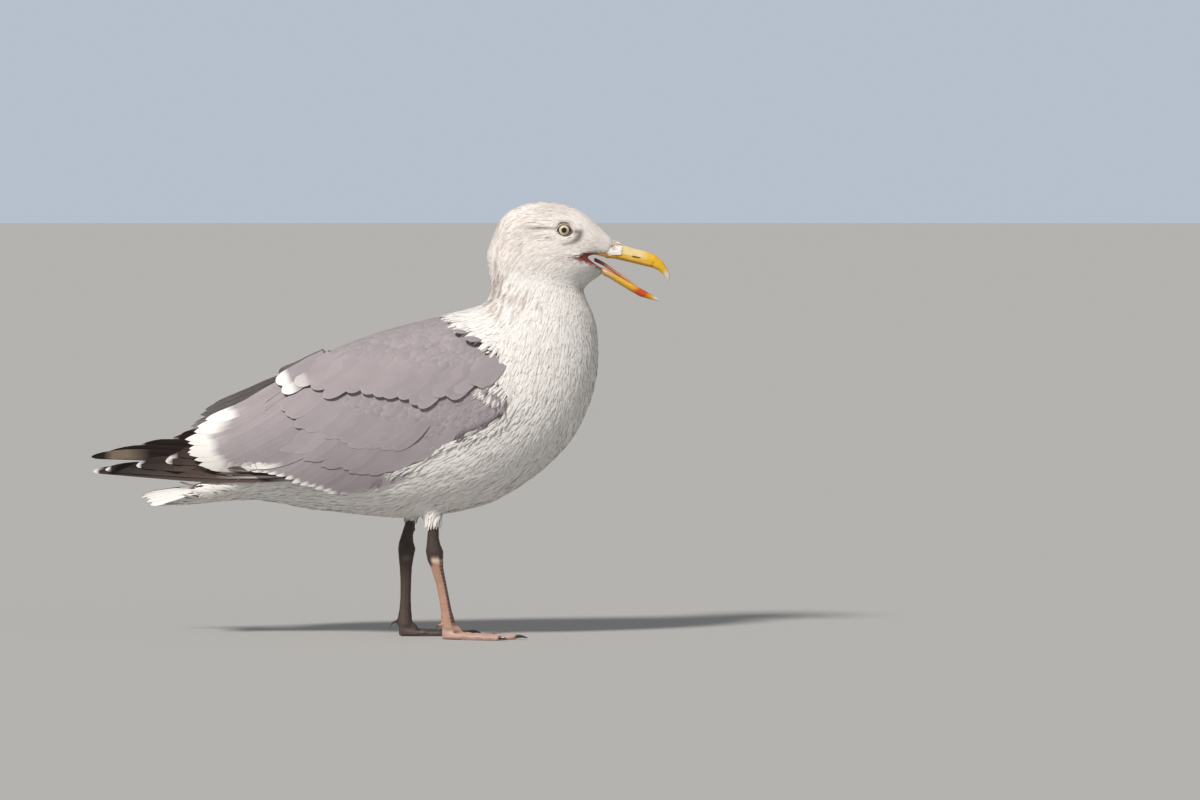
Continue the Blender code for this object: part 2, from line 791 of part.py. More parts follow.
def stand_on_origin():
    """Hangs every object on one empty, which centres the model's box over the origin."""
    solids = [thing for thing in bpy.data.objects if thing.type == "MESH" and not thing.hide_render]
    lows = [min(vert.co[axis] for thing in solids for vert in thing.data.vertices) for axis in range(2)]
    highs = [max(vert.co[axis] for thing in solids for vert in thing.data.vertices) for axis in range(2)]
    frame = bpy.data.objects.new("seagull", None)
    frame.location = (-(lows[0] + highs[0]) / 2, -(lows[1] + highs[1]) / 2, 0)
    bpy.context.scene.collection.objects.link(frame)
    for thing in bpy.data.objects:
        if thing.type == "MESH":
            thing.parent = frame


def main():
    """Builds the whole bird."""
    for thing in list(bpy.data.objects):
        bpy.data.objects.remove(thing)
    trunk, head = build_body()
    build_wings(trunk)
    build_mouth(head)
    build_eyes(head)
    build_tail(trunk)
    build_legs(trunk)
    stand_on_origin()


if __name__ == "__main__":
    main()
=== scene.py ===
"""Herring gull, adult in winter plumage, standing: the looks.

The frame gives the solids. One skin replaces the nodes of flesh and lies inside them by the plumage's
depth. Over it lie coats of small feathers, and the flight feathers, bill, eyes, mouth and claws are pieces
of their own.
Tables and arrays are in millimetres, in the frame's own axes: the bird faces +X and its left side is +Y.
"""

from __future__ import annotations

import json
import logging
import math
from dataclasses import dataclass, field
from enum import Enum
from typing import Callable, Sequence

import bmesh
import bpy
import numpy as np
from bmesh.types import BMEdge, BMesh, BMVert
from bpy.types import Mesh, Node, NodeSocket, NodeTree, Object
from mathutils import Matrix, Vector
from mathutils.bvhtree import BVHTree

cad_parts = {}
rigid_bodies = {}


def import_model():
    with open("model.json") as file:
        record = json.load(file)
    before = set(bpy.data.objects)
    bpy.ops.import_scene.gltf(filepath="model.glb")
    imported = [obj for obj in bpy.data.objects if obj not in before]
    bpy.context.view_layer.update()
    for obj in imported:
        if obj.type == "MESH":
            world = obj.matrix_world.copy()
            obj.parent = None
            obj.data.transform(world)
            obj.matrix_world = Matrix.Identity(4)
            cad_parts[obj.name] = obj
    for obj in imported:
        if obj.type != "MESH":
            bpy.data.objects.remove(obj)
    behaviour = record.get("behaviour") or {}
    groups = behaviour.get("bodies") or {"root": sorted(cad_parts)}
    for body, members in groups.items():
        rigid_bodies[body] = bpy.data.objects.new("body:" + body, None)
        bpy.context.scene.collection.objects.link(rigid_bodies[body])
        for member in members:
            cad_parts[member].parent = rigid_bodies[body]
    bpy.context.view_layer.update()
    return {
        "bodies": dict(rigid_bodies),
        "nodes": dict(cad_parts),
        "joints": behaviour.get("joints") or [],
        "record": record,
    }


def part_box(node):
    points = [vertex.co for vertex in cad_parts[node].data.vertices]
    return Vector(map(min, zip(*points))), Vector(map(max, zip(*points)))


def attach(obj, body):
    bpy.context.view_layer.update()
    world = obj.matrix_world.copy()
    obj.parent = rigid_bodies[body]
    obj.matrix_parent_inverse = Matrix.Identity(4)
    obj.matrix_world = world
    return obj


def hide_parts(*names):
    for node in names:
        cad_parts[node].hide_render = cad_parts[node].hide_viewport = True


LOG = logging.getLogger("gull")
MM = 0.001
FAR = 150.0  # well outside the bird, in millimetres
SEED = 23
BODY = "root"
COLOUR = "Plumage"  # the colour attribute of skin, coats and horn
LIE = "Vane"  # the UV map that runs across and along a feather, in centimetres
BAKE = "OFBake"

FLESH = ("trunk", "neck", "head", "thigh_right", "thigh_left", "wing_right", "wing_left")
LEG_FLESH = ("shank_right", "shank_left", "foot_right", "foot_left", "hallux_right", "hallux_left")

Points = np.ndarray
Rng = np.random.Generator
Outline = Sequence[tuple[float, float]]
Keep = Callable[[Points, Points], Points]  # sizes from places and normals, 0 where nothing grows


class Side(Enum):
    """The two sides of the bird, by the sign of Y."""

    RIGHT = -1
    LEFT = 1

    @property
    def word(self) -> str:
        """The side as a word in a name."""
        return self.name.lower()


class Tone:
    """Linear colours of the plumage and the bare parts."""

    WHITE = (0.82, 0.79, 0.762)
    GREY = (0.322, 0.281, 0.298)
    GREY_EDGE = (0.47, 0.43, 0.445)
    BROWN = (0.31, 0.225, 0.175)
    SMUDGE = (0.075, 0.065, 0.065)
    BLACK = (0.020, 0.013, 0.011)
    BLACK_WARM = (0.066, 0.037, 0.029)
    LEG_PINK = (0.46, 0.255, 0.18)
    TOE_PINK = (0.51, 0.325, 0.265)
    # LEG_DARK is the legs' painted shade, and also the darker lines on the scutes and the webs
    LEG_DARK = (0.016, 0.011, 0.011)
    ANKLE_PAD = (0.76, 0.60, 0.47)
    MOUTH = (0.24, 0.045, 0.035)
    GAPE_PINK = (0.62, 0.33, 0.26)
    PINK_GOLD = (0.62, 0.30, 0.10)


def mixed(first: Points | Sequence[float], second: Points | Sequence[float], share: Points) -> Points:
    """Blends two sets of values by a share from 0 to 1."""
    return first + (np.asarray(second) - first) * share


def bands(run: Points, pitch: float) -> Points:
    """A wave of straight lines: 1 at each multiple of the pitch, 0 halfway between."""
    return np.abs((run / pitch) % 1.0 - 0.5) * 2


def coated(colours: Points | Sequence[float], *layers: tuple[Sequence[float], Points]) -> Points:
    """Lays tones over colours, each by its share at every point."""
    for tone, share in layers:
        colours = mixed(colours, tone, share[..., None])
    return colours


def step(low: float, high: float, values: Points) -> Points:
    """A soft step from 0 at low to 1 at high, in either direction."""
    share = np.clip((values - low) / (high - low), 0.0, 1.0)
    return share * share * (3 - 2 * share)


def unit(vectors: Points) -> Points:
    """The vectors with a length of 1."""
    return vectors / np.maximum(np.linalg.norm(vectors, axis=-1, keepdims=True), 1e-9)


def along(points: Sequence[Sequence[float]], shares: Points) -> Points:
    """Points on a Catmull-Rom curve.

    Args:
        points: The places that the curve passes through.
        shares: How far along, from 0 at the first place to 1 at the last.

    Returns:
        One row for each share.
    """
    places = np.asarray(points, float)
    last = len(places) - 1
    turns = np.clip(np.asarray(shares, float), 0.0, 1.0) * last
    index = np.minimum(turns.astype(int), last - 1)
    rest = (turns - index)[:, None]
    before = places[np.maximum(index - 1, 0)]
    start, end = places[index], places[index + 1]
    after = places[np.minimum(index + 2, last)]
    bend = 2 * before - 5 * start + 4 * end - after
    twist = 3 * (start - end) + after - before
    return start + 0.5 * ((end - before) * rest + bend * rest**2 + twist * rest**3)


# ---------- shapes


def linked(name: str, mesh: Mesh) -> Object:
    """Puts a mesh into the scene as an object."""
    thing = bpy.data.objects.new(name, mesh)
    bpy.context.scene.collection.objects.link(thing)
    return thing


def object_of(name: str, shape: BMesh, smooth: bool = True) -> Object:
    """Turns a bmesh in millimetres into an object in metres.

    Args:
        name: The object's name.
        shape: The bmesh, which is freed.
        smooth: Whether its faces are shaded smooth.

    Returns:
        The object, in the scene.
    """
    bmesh.ops.scale(shape, vec=(MM, MM, MM), verts=shape.verts)
    mesh = bpy.data.meshes.new(name)
    shape.to_mesh(mesh)
    shape.free()
    if smooth:
        mesh.shade_smooth()
    return linked(name, mesh)


def placed(piece: Object, finish: Finish, slot: str, *nodes: str) -> None:
    """Dresses a piece and hands it over to the frame.

    Args:
        piece: The piece.
        finish: Its material.
        slot: A material slot of the record; not used.
        nodes: The solids that it stands for.
    """
    piece.data.materials.append(finish.material)
    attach(piece, BODY)
    if nodes:
        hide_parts(*nodes)
    LOG.info("%s: %d faces, for %s", piece.name, len(piece.data.polygons), ", ".join(nodes) or "no solid")


def node_box(name: str) -> tuple[Vector, Vector]:
    """The lowest and highest corner of a solid's box, in millimetres."""
    return tuple(Vector(corner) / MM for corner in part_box(name))


def merged_node(node: Object, grow: float = 0.0) -> BMesh:
    """A solid of the frame as a bmesh in millimetres.

    Args:
        node: The frame's node.
        grow: How far its faces are moved outwards.

    Returns:
        A new bmesh with its doubles merged.
    """
    shape = bmesh.new()
    shape.from_mesh(node.data)
    bmesh.ops.scale(shape, vec=(1 / MM, 1 / MM, 1 / MM), verts=shape.verts)
    bmesh.ops.remove_doubles(shape, verts=shape.verts, dist=0.002)
    shape.normal_update()
    places = [vert.co + vert.normal * grow for vert in shape.verts]
    for vert, place in zip(shape.verts, places):
        vert.co = place
    return shape


def union(
    shapes: Sequence[BMesh],
    voxel: float,
    rounds: int,
    softer: Callable[[Vector], bool] = lambda place: False,
    more_rounds: int = 0,
) -> Surface:
    """One closed and smoothed surface round several overlapping shapes.

    Args:
        shapes: The bmeshes, which are freed.
        voxel: The size of the surface's faces.
        rounds: How many times it is smoothed.
        softer: Says where it is smoothed more.
        more_rounds: How many times more it is smoothed there.

    Returns:
        The surface.
    """
    gathered = bmesh.new()
    for shape in shapes:
        single = bpy.data.meshes.new("single")
        shape.to_mesh(single)
        shape.free()
        gathered.from_mesh(single)
        bpy.data.meshes.remove(single)
    mesh = bpy.data.meshes.new("gathered")
    gathered.to_mesh(mesh)
    gathered.free()
    thing = linked("gathered", mesh)
    remesh = thing.modifiers.new("one surface", "REMESH")
    remesh.mode = "VOXEL"
    remesh.voxel_size = voxel
    graph = bpy.context.evaluated_depsgraph_get()
    found = bpy.data.meshes.new_from_object(thing.evaluated_get(graph))
    bpy.data.objects.remove(thing)
    shape = bmesh.new()
    shape.from_mesh(found)
    axes = {"use_axis_x": True, "use_axis_y": True, "use_axis_z": True}
    for _ in range(rounds):
        bmesh.ops.smooth_vert(shape, verts=shape.verts, factor=0.5, **axes)
    soft = [vert for vert in shape.verts if softer(vert.co)]
    for _ in range(more_rounds):
        bmesh.ops.smooth_vert(shape, verts=soft, factor=0.5, **axes)
    return surface_of(shape)


@dataclass
class Surface:
    """A closed surface of triangles that feathers can be laid on, in millimetres."""

    points: Points
    faces: Points
    normals: Points
    tree: BVHTree

    @classmethod
    def of(cls, mesh: Mesh) -> Surface:
        """Reads a mesh of triangles."""
        points = np.empty(len(mesh.vertices) * 3, np.float32)
        mesh.vertices.foreach_get("co", points)
        faces = np.empty(len(mesh.loops), np.int32)
        mesh.loops.foreach_get("vertex_index", faces)
        return cls.made(points.reshape(-1, 3).astype(float), faces.reshape(-1, 3))

    @classmethod
    def made(cls, points: Points, faces: Points) -> Surface:
        """Works out the normals and the search tree."""
        corners = points[faces]
        turns = np.cross(corners[:, 1] - corners[:, 0], corners[:, 2] - corners[:, 0])
        normals = np.zeros_like(points)
        for corner in range(3):
            np.add.at(normals, faces[:, corner], turns)
        return cls(points, faces, unit(normals), BVHTree.FromPolygons(points.tolist(), faces.tolist()))

    @classmethod
    def together(cls, surfaces: Sequence[Surface]) -> Surface:
        """Several surfaces as one."""
        starts = np.cumsum([0] + [len(surface.points) for surface in surfaces])
        faces = [surface.faces + start for surface, start in zip(surfaces, starts)]
        return cls.made(np.concatenate([surface.points for surface in surfaces]), np.concatenate(faces))

    def moved(self, depth: Points | float) -> Surface:
        """The surface moved along its normals, by one distance or one for each point."""
        return Surface.made(self.points + self.normals * np.reshape(depth, (-1, 1)), self.faces)

    def nearest(self, places: Points) -> tuple[Points, Points, Points]:
        """The closest places on the surface.

        Args:
            places: Any points.

        Returns:
            The places, the smooth normals there and one vertex of the face hit, each a row for a point.
        """
        found = [self.tree.find_nearest(place) for place in places.tolist()]
        hits = np.array([hit[0] for hit in found])
        corners = self.faces[np.array([hit[2] for hit in found])]
        gaps = np.linalg.norm(self.points[corners] - hits[:, None], axis=2) + 0.05
        normals = unit((self.normals[corners] / gaps[..., None]).sum(axis=1))
        return hits, normals, corners[np.arange(len(hits)), gaps.argmin(axis=1)]

    def beside(self, flat: Points, sign: int, least: float = 1.5) -> tuple[Points, Points]:
        """Carries places from the side view onto the surface.

        Args:
            flat: Places as (x, z).
            sign: The side's sign along Y.
            least: How far from the middle plane they stay.

        Returns:
            The places in space and the surface's normals there.
        """
        reach = []
        for x, z in flat.tolist():
            hit = self.tree.ray_cast(Vector((x, sign * FAR, z)), Vector((0, -sign, 0)), FAR)[0]
            if hit is None:
                hit = self.tree.find_nearest(Vector((x, sign * 12.0, z)))[0]
            reach.append(hit.y)
        y = sign * np.maximum(sign * np.array(reach), least)
        places = np.stack([flat[:, 0], y, flat[:, 1]], axis=1)
        return places, self.nearest(places)[1]

    def thickness(self, places: Points, normals: Points, reach: float) -> Points:
        """How thick the body is under each place, up to a reach."""
        found = []
        for place, normal in zip(places.tolist(), normals):
            inwards = Vector(-normal)
            hit = self.tree.ray_cast(Vector(place) + inwards * 0.05, inwards, reach)[3]
            found.append(reach if hit is None else hit)
        return np.array(found)

    def scattered(self, rng: Rng, spacing: float, keep: Keep) -> Points:
        """Places all over a part of the surface, none closer to another than the spacing.

        Args:
            rng: The source of chance.
            spacing: The least distance.
            keep: Says which places are wanted, and how far apart, as a factor.

        Returns:
            The places.
        """
        corners = self.points[self.faces]
        turns = np.cross(corners[:, 1] - corners[:, 0], corners[:, 2] - corners[:, 0])
        middles = corners.mean(axis=1)
        wanted = keep(middles, unit(turns))
        areas = np.linalg.norm(turns, axis=1) / 2 * (wanted > 0)
        count = int(5.0 * areas.sum() / spacing**2)
        chosen = rng.choice(len(areas), count, p=areas / areas.sum())
        shares = rng.random((count, 2))
        folded = shares.sum(axis=1) > 1
        shares[folded] = 1 - shares[folded]
        first, second, third = (corners[chosen, corner] for corner in range(3))
        places = first + (second - first) * shares[:, :1] + (third - first) * shares[:, 1:]
        return places[spread(places, spacing * wanted[chosen])]


def surface_of(shape: BMesh) -> Surface:
    """The surface of a bmesh in millimetres, which is freed."""
    bmesh.ops.triangulate(shape, faces=shape.faces)
    mesh = bpy.data.meshes.new("surface")
    shape.to_mesh(mesh)
    shape.free()
    surface = Surface.of(mesh)
    bpy.data.meshes.remove(mesh)
    return surface


def paint(mesh: Mesh, colours: Points) -> None:
    """Gives a mesh its colour attribute, a linear colour for each point."""
    rows = np.concatenate([colours, np.ones((len(colours), 1))], axis=1).astype(np.float32)
    mesh.color_attributes.new(COLOUR, "FLOAT_COLOR", "POINT").data.foreach_set("color", rows.ravel())


def painted_object(name: str, surface: Surface, colours: Points, bare: Points | None = None) -> Object:
    """An object of a surface with its colours.

    Args:
        name: The object's name.
        surface: The surface, in millimetres.
        colours: A linear colour for each point.
        bare: How bare of plumage each point is, from 0 to 1.

    Returns:
        The object.
    """
    mesh = bpy.data.meshes.new(name)
    mesh.from_pydata((surface.points * MM).tolist(), [], surface.faces.tolist())
    mesh.shade_smooth()
    paint(mesh, colours)
    if bare is not None:
        mesh.attributes.new("Bare", "FLOAT", "POINT").data.foreach_set("value", bare.astype(np.float32))
    return linked(name, mesh)


def picked(kept: Points, *tables: Points) -> list[Points]:
    """The kept rows of several tables."""
    return [table[kept] for table in tables]


def spread(places: Points, gaps: Points) -> list[int]:
    """Picks places in order, leaving out each one that is too close to one picked before.

    Args:
        places: The places to pick from.
        gaps: The least distance round each.

    Returns:
        The indices of the picked places.
    """
    cell = float(gaps.max())
    cells: dict[tuple[int, int, int], list[int]] = {}
    picked = []
    around = [(x, y, z) for x in (-1, 0, 1) for y in (-1, 0, 1) for z in (-1, 0, 1)]
    rows = places.tolist()
    limits = (gaps**2).tolist()
    for index, (home, row) in enumerate(zip(np.floor(places / cell).astype(int).tolist(), rows)):
        clear = True
        for shift in around:
            for other in cells.get((home[0] + shift[0], home[1] + shift[1], home[2] + shift[2]), ()):
                x, y, z = rows[other]
                if (x - row[0]) ** 2 + (y - row[1]) ** 2 + (z - row[2]) ** 2 < limits[index]:
                    clear = False
                    break
            if not clear:
                break
        if clear:
            cells.setdefault(tuple(home), []).append(index)
            picked.append(index)
    return picked


# ---------- the bird's plan


class Plan:
    """Where things are on the bird, seen from its side: the feathers' lie, their depth and the markings."""

    # Each row is a place (x, z) and the way that feathers lie there (x, z).
    LIE = np.array(
        [
            (205, 353, -0.90, 0.38), (214, 349, -1.0, 0.10), (212, 357, -0.94, 0.34),
            (198, 366, -0.75, 0.62), (180, 384, -0.92, 0.40), (150, 393, -1.0, 0.0),
            (122, 387, -0.80, -0.60), (104, 368, -0.30, -0.95), (96, 345, 0.05, -1.0),
            (99, 322, 0.0, -1.0), (92, 300, -0.85, -0.50), (190, 360, -1.0, 0.18), (172, 376, -1.0, 0.22),
            (165, 357, -1.0, -0.12), (148, 367, -1.0, -0.05), (140, 378, -1.0, -0.12),
            (125, 365, -0.85, -0.50), (150, 352, -0.95, -0.30), (128, 345, -0.62, -0.78),
            (202, 330, -0.9, -0.30), (188, 322, -0.75, -0.66), (170, 330, -0.82, -0.57),
            (150, 330, -0.62, -0.78), (125, 322, -0.30, -0.95), (160, 305, -0.22, -0.98),
            (188, 298, -0.10, -1.0), (110, 300, -0.35, -0.94), (130, 285, -0.22, -0.98),
            (165, 275, -0.12, -0.99), (195, 262, -0.05, -1.0), (192, 222, -0.15, -0.99),
            (150, 235, -0.25, -0.97), (122, 262, -0.30, -0.95), (120, 235, -0.25, -0.97),
            (178, 188, -0.35, -0.94), (140, 190, -0.60, -0.80), (150, 155, -0.75, -0.66),
            (118, 205, -0.62, -0.78), (100, 190, -0.78, -0.63), (100, 125, -0.97, -0.15),
            (60, 165, -0.90, -0.44), (75, 115, -1.0, -0.05), (47, 103, -0.2, -0.98),
            (26, 105, -0.2, -0.98), (20, 145, -0.95, -0.30), (-8, 108, -1.0, 0.03),
            (-60, 125, -1.0, 0.05), (-120, 125, -1.0, 0.05), (-180, 125, -1.0, 0.03),
            (85, 285, -0.88, -0.48), (90, 258, -0.66, -0.75), (60, 285, -0.95, -0.32),
            (50, 262, -0.84, -0.54), (10, 272, -0.96, -0.28), (10, 250, -0.90, -0.44),
            (-50, 252, -0.93, -0.36), (-100, 228, -0.92, -0.40), (100, 222, -0.70, -0.72),
            (80, 210, -0.76, -0.65), (50, 200, -0.78, -0.63), (20, 205, -0.80, -0.60),
            (-20, 215, -0.84, -0.54), (0, 165, -0.76, -0.65), (-40, 165, -0.78, -0.63),
            (-60, 205, -0.86, -0.50), (-90, 180, -0.84, -0.54), (-130, 190, -0.90, -0.44),
            (-150, 172, -0.93, -0.36),
        ]
    )
    # The grey's front edge as (z, x), and its lower edge behind the legs as (x, z).
    FRONT = np.array(
        [
            (139.5, 0), (144.9, 4.5), (153, 9), (157.5, 18), (159.3, 27), (162.9, 36), (171.9, 45),
            (177.3, 54), (181.8, 63), (184.5, 72), (187.2, 81), (191.7, 90), (198, 103), (204.3, 110),
            (212.4, 115), (217, 114), (224, 106), (231, 94), (234, 96), (241, 99), (248.4, 105),
            (257.4, 107), (266.4, 99), (271, 91), (275.4, 82), (281.7, 73), (289.8, 63), (293, 57),
            (320, 50),
        ]
    )
    BOTTOM = np.array(
        [(-173, 168), (-168, 161), (-157, 155), (-104, 156), (-80, 151), (-54, 139), (-30, 134), (2, 141)]
    )
    SPINE = np.array(
        [(-214, 128), (-150, 140), (-80, 180), (0, 195), (80, 215), (135, 250), (142, 295), (142, 330),
         (160, 352), (212, 346)]
    )
    MOUTH = np.array(
        [(168.5, 344.2), (188, 346.6), (206, 345.6), (206, 328.0), (200.5, 332.6), (188, 338.2)]
    )
    LEFT_LIFT = 10.0  # the left wing's rear stands this much higher
    HEAD_WARMTH = (1.0, 0.968, 0.95)

    def __init__(self, eye: Vector, rng: Rng) -> None:
        """Takes the right eye's centre and draws the streaks."""
        self.eye = eye
        self.streaks = self.drawn_streaks(rng)

    def lowered(self, places: Points) -> Points:
        """The heights of places, with the left wing's lift taken off."""
        return places[:, 2] - self.LEFT_LIFT * (places[:, 1] > 0) * step(-60, -130, places[:, 0])

    def lie(self, places: Points, normals: Points) -> Points:
        """The unit direction in which feathers lie, in the surface."""
        table = self.LIE
        flat = np.stack([places[:, 0], self.lowered(places)], axis=1)
        gaps = ((flat[:, None] - table[None, :, :2]) ** 2).sum(axis=2)
        weights = 1 / (gaps + 30.0) ** 2
        way = weights @ table[:, 2:] / weights.sum(axis=1, keepdims=True)
        ways = np.stack([way[:, 0], 0.0 * way[:, 0], way[:, 1]], axis=1)
        ways -= normals * (ways * normals).sum(axis=1, keepdims=True)
        return unit(ways)

    def grey(self, places: Points) -> Points:
        """How grey the plumage is at each place: 1 on the mantle and wings, 0 on the white parts."""
        height = self.lowered(places)
        front = np.interp(height, *self.FRONT.T, left=-400)
        low = np.interp(places[:, 0], *self.BOTTOM.T)
        over = step(-0.5, 0.5, height - low) * (places[:, 0] > -175)
        return step(1.0, -1.0, places[:, 0] - front) * over

    def well_grey(self, places: Points, normals: Points, ahead: float = 5.0) -> Points:
        """Whether each place and one a little ahead are grey, so that white feathers overlap the front."""
        before = places - self.lie(places, normals) * ahead
        return (self.grey(places) > 0.5) & (self.grey(before) > 0.5)

    def near_mouth(self, places: Points, normals: Points) -> Points:
        """Whether each place is on the inner faces of the open mouth."""
        probe = (places + normals * 1.4)[:, [0, 2]]
        inside = np.zeros(len(probe), bool)
        corners = self.MOUTH
        for start, end in zip(corners, np.roll(corners, -1, axis=0)):
            crosses = (start[1] > probe[:, 1]) != (end[1] > probe[:, 1])
            rise = (probe[:, 1] - start[1]) / (end[1] - start[1] + 1e-9)
            inside ^= crosses & (probe[:, 0] < start[0] + (end[0] - start[0]) * rise)
        return inside

    def eye_distance(self, places: Points) -> Points:
        """The distance from the line through both eyes."""
        return np.hypot(places[:, 0] - self.eye.x, places[:, 2] - self.eye.z)

    def depth(self, places: Points) -> Points:
        """How deep the plumage is at each place."""
        x, z = places[:, 0], places[:, 2]
        head = mixed(0.7, 2.2, step(208, 165, x))
        body = mixed(4.0, 6.0, step(300, 240, z))
        deep = mixed(body, head, step(318, 345, z))
        deep = mixed(deep, mixed(2.6, 1.1, step(-10, -90, x)), self.grey(places))
        deep = mixed(deep, 0.55, step(12, 6, self.eye_distance(places)) * (z > 340))
        return mixed(deep, 2.6, step(113, 105, z))

    def unwrapped(self, places: Points) -> Points:
        """The body's own unwrap: how far along the spine each place is, and its turn round the spine.

        Args:
            places: Any places on the surface.

        Returns:
            Two columns, in millimetres and in turns.
        """
        flat = places[:, [0, 2]]
        best = np.full(len(flat), np.inf)
        found = np.zeros((len(flat), 2))
        run = 0.0
        for start, end in zip(self.SPINE, self.SPINE[1:]):
            span = end - start
            length = math.hypot(*span)
            share = np.clip((flat - start) @ span / length**2, 0, 1)
            off = flat - start - share[:, None] * span
            gap = (off**2).sum(axis=1)
            up = (off[:, 1] * span[0] - off[:, 0] * span[1]) / length
            turn = np.arctan2(places[:, 1], up) / math.tau + 0.5
            closer = gap < best
            best[closer] = gap[closer]
            found[closer] = np.stack([run + share * length, turn], axis=1)[closer]
            run += length
        return found

    # Streaks: (x, z) centre, half spread along X and Z, how many on each side, length, width and strength.
    STREAK_BEDS = (
        (106, 316, 9, 20, 30, 13, 2.6, 0.62),
        (124, 300, 15, 14, 18, 10, 2.2, 0.55),
        (118, 360, 16, 24, 100, 8, 1.2, 0.38),
        (148, 384, 26, 8, 90, 8, 1.0, 0.32),
        (138, 366, 17, 10, 70, 8, 1.1, 0.4),
        (148, 338, 26, 16, 70, 6, 1.1, 0.3),
        (156, 292, 22, 12, 18, 5, 1.5, 0.4),
        (150, 245, 26, 18, 9, 8, 1.8, 0.28),
        (188, 352, 12, 8, 46, 4, 0.8, 0.38),
    )

    def drawn_streaks(self, rng: Rng) -> Points:
        """Draws the brown winter streaks.

        Args:
            rng: The source of chance.

        Returns:
            A row for each: x, z, side, way x, way z, half length, half width and strength.
        """
        rows = []
        for x, z, wide, high, count, length, width, strength in self.STREAK_BEDS:
            for side in Side:
                spot = rng.normal(0, 0.55, (count, 2)) * (wide, high) + (x, z)
                sizes = rng.uniform(0.6, 1.3, (count, 3)) * (length / 2, width / 2, strength)
                flat = np.stack([spot[:, 0], np.zeros(count), spot[:, 1]], axis=1)
                way = self.lie(flat, np.tile((0.0, 1.0, 0.0), (count, 1)))[:, [0, 2]]
                rows.append(np.column_stack([spot, np.full(count, side.value), way, sizes]))
        return np.concatenate(rows)

    def streaked(self, places: Points) -> Points:
        """How brown the streaks make each place, from 0 to 1."""
        found = np.zeros(len(places))
        for row in self.streaks:
            x, z, side, way_x, way_z, half_length, half_width, strength = row
            off_x, off_z = places[:, 0] - x, places[:, 2] - z
            run = (off_x * way_x + off_z * way_z) / half_length
            across = (off_z * way_x - off_x * way_z) / half_width
            mark = strength * np.exp(-(run**4) - across**2) * (places[:, 1] * side > -4)
            np.maximum(found, mark, out=found)
        return found

    def smudged(self, places: Points) -> Points:
        """How dark the shading before, below and behind the eye is, from 0 to 1."""
        x, z = places[:, 0] - self.eye.x, places[:, 2] - self.eye.z
        reach, angle = np.hypot(x, z), np.degrees(np.arctan2(z, x))
        ring, width = mixed(12.6, 14.6, step(-80, -15, angle)), mixed(1.4, 3.2, step(-80, -20, angle))
        arc = np.exp(-(((reach - ring) / width) ** 2)) * step(-114, -84, angle) * step(14, -8, angle)
        arc *= mixed(0.6, 0.95, step(-85, -25, angle))
        lore = np.maximum(0.9 * np.exp(-(((x - 11.5) / 4.5) ** 2) - ((z + 1.5) / 2.6) ** 2), arc)
        behind = 0.7 * np.exp(-(((x + 20) / 15.0) ** 4) - ((z - 1.2 + 0.03 * x) / 1.3) ** 2)
        return np.clip(np.maximum(lore, behind), 0, 1) * (places[:, 2] > 340)

    def marked(self, places: Points, grey: Points) -> Points:
        """The plumage's colour.

        Args:
            places: Where the colour is wanted.
            grey: How grey the feather there is, from its root.

        Returns:
            Linear colours, a row for a place.
        """
        warmth = mixed((1.0, 1.0, 1.0), self.HEAD_WARMTH, step(322, 345, places[:, 2])[:, None])
        brown, dark = self.streaked(places) * (1 - grey), 0.92 * self.smudged(places)
        return coated(
            coated(Tone.WHITE, (Tone.GREY, grey)) * warmth, (Tone.BROWN, brown), (Tone.SMUDGE, dark)
        )


# ---------- feathers


@dataclass(frozen=True)
class Vane:
    """One small feather as a closed lens: X across from -1 to 1, Y its thickness, Z along from 0 to 1."""

    points: Points
    faces: Points

    @classmethod
    def lofted(cls, sides: int, outline: Outline) -> Vane:
        """Makes the feather by extruding a ring.

        Args:
            sides: How many corners its cross-section has.
            outline: Pairs of a place along the feather and the half width there; the last pair is the tip.

        Returns:
            The feather, as triangles.
        """
        shape = bmesh.new()
        ring = bmesh.ops.create_circle(shape, cap_ends=True, segments=sides, radius=outline[0][1])["verts"]
        if sides % 2:
            turn = math.pi / 2 - math.atan2(ring[0].co.y, ring[0].co.x)
            bmesh.ops.rotate(shape, verts=ring, matrix=Matrix.Rotation(turn, 3, "Z"))
        edges = list(shape.edges)
        for (low, before), (high, after) in zip(outline, outline[1:]):
            grown = bmesh.ops.extrude_edge_only(shape, edges=edges)["geom"]
            ring = [item for item in grown if isinstance(item, BMVert)]
            edges = [item for item in grown if isinstance(item, BMEdge)]
            edges = [edge for edge in edges if all(vert in ring for vert in edge.verts)]
            bmesh.ops.translate(shape, verts=ring, vec=(0, 0, high - low))
            bmesh.ops.scale(shape, verts=ring, vec=(after / before, after / before, 1))
        bmesh.ops.pointmerge(shape, verts=ring, merge_co=(0, 0, 1))
        bmesh.ops.recalc_face_normals(shape, faces=shape.faces)
        bmesh.ops.triangulate(shape, faces=shape.faces)
        shape.verts.index_update()
        points = np.array([tuple(vert.co) for vert in shape.verts])
        faces = np.array([[vert.index for vert in face.verts] for face in shape.faces])
        shape.free()
        return cls(points, faces)

    def upper(self) -> Points:
        """Whether each face is on the upper side or closes the root."""
        corners = self.points[self.faces]
        outwards = np.einsum("jk,jk", corners[:, 0], np.cross(corners[:, 1], corners[:, 2]))
        turns = np.cross(corners[:, 1] - corners[:, 0], corners[:, 2] - corners[:, 0])
        ways = unit(turns * np.sign(outwards))
        return (ways[:, 1] > 0.001) | (ways[:, 2] < -0.95)


HAIR = ((0.0, 0.55), (0.35, 1.0), (0.72, 0.78), (1.0, 0.2))
STRAND = ((0.0, 0.5), (0.3, 0.9), (0.62, 1.0), (0.86, 0.66), (1.0, 0.22))
SCALE = ((0.0, 0.45), (0.3, 0.86), (0.58, 1.0), (0.78, 0.92), (0.92, 0.64), (1.0, 0.25))


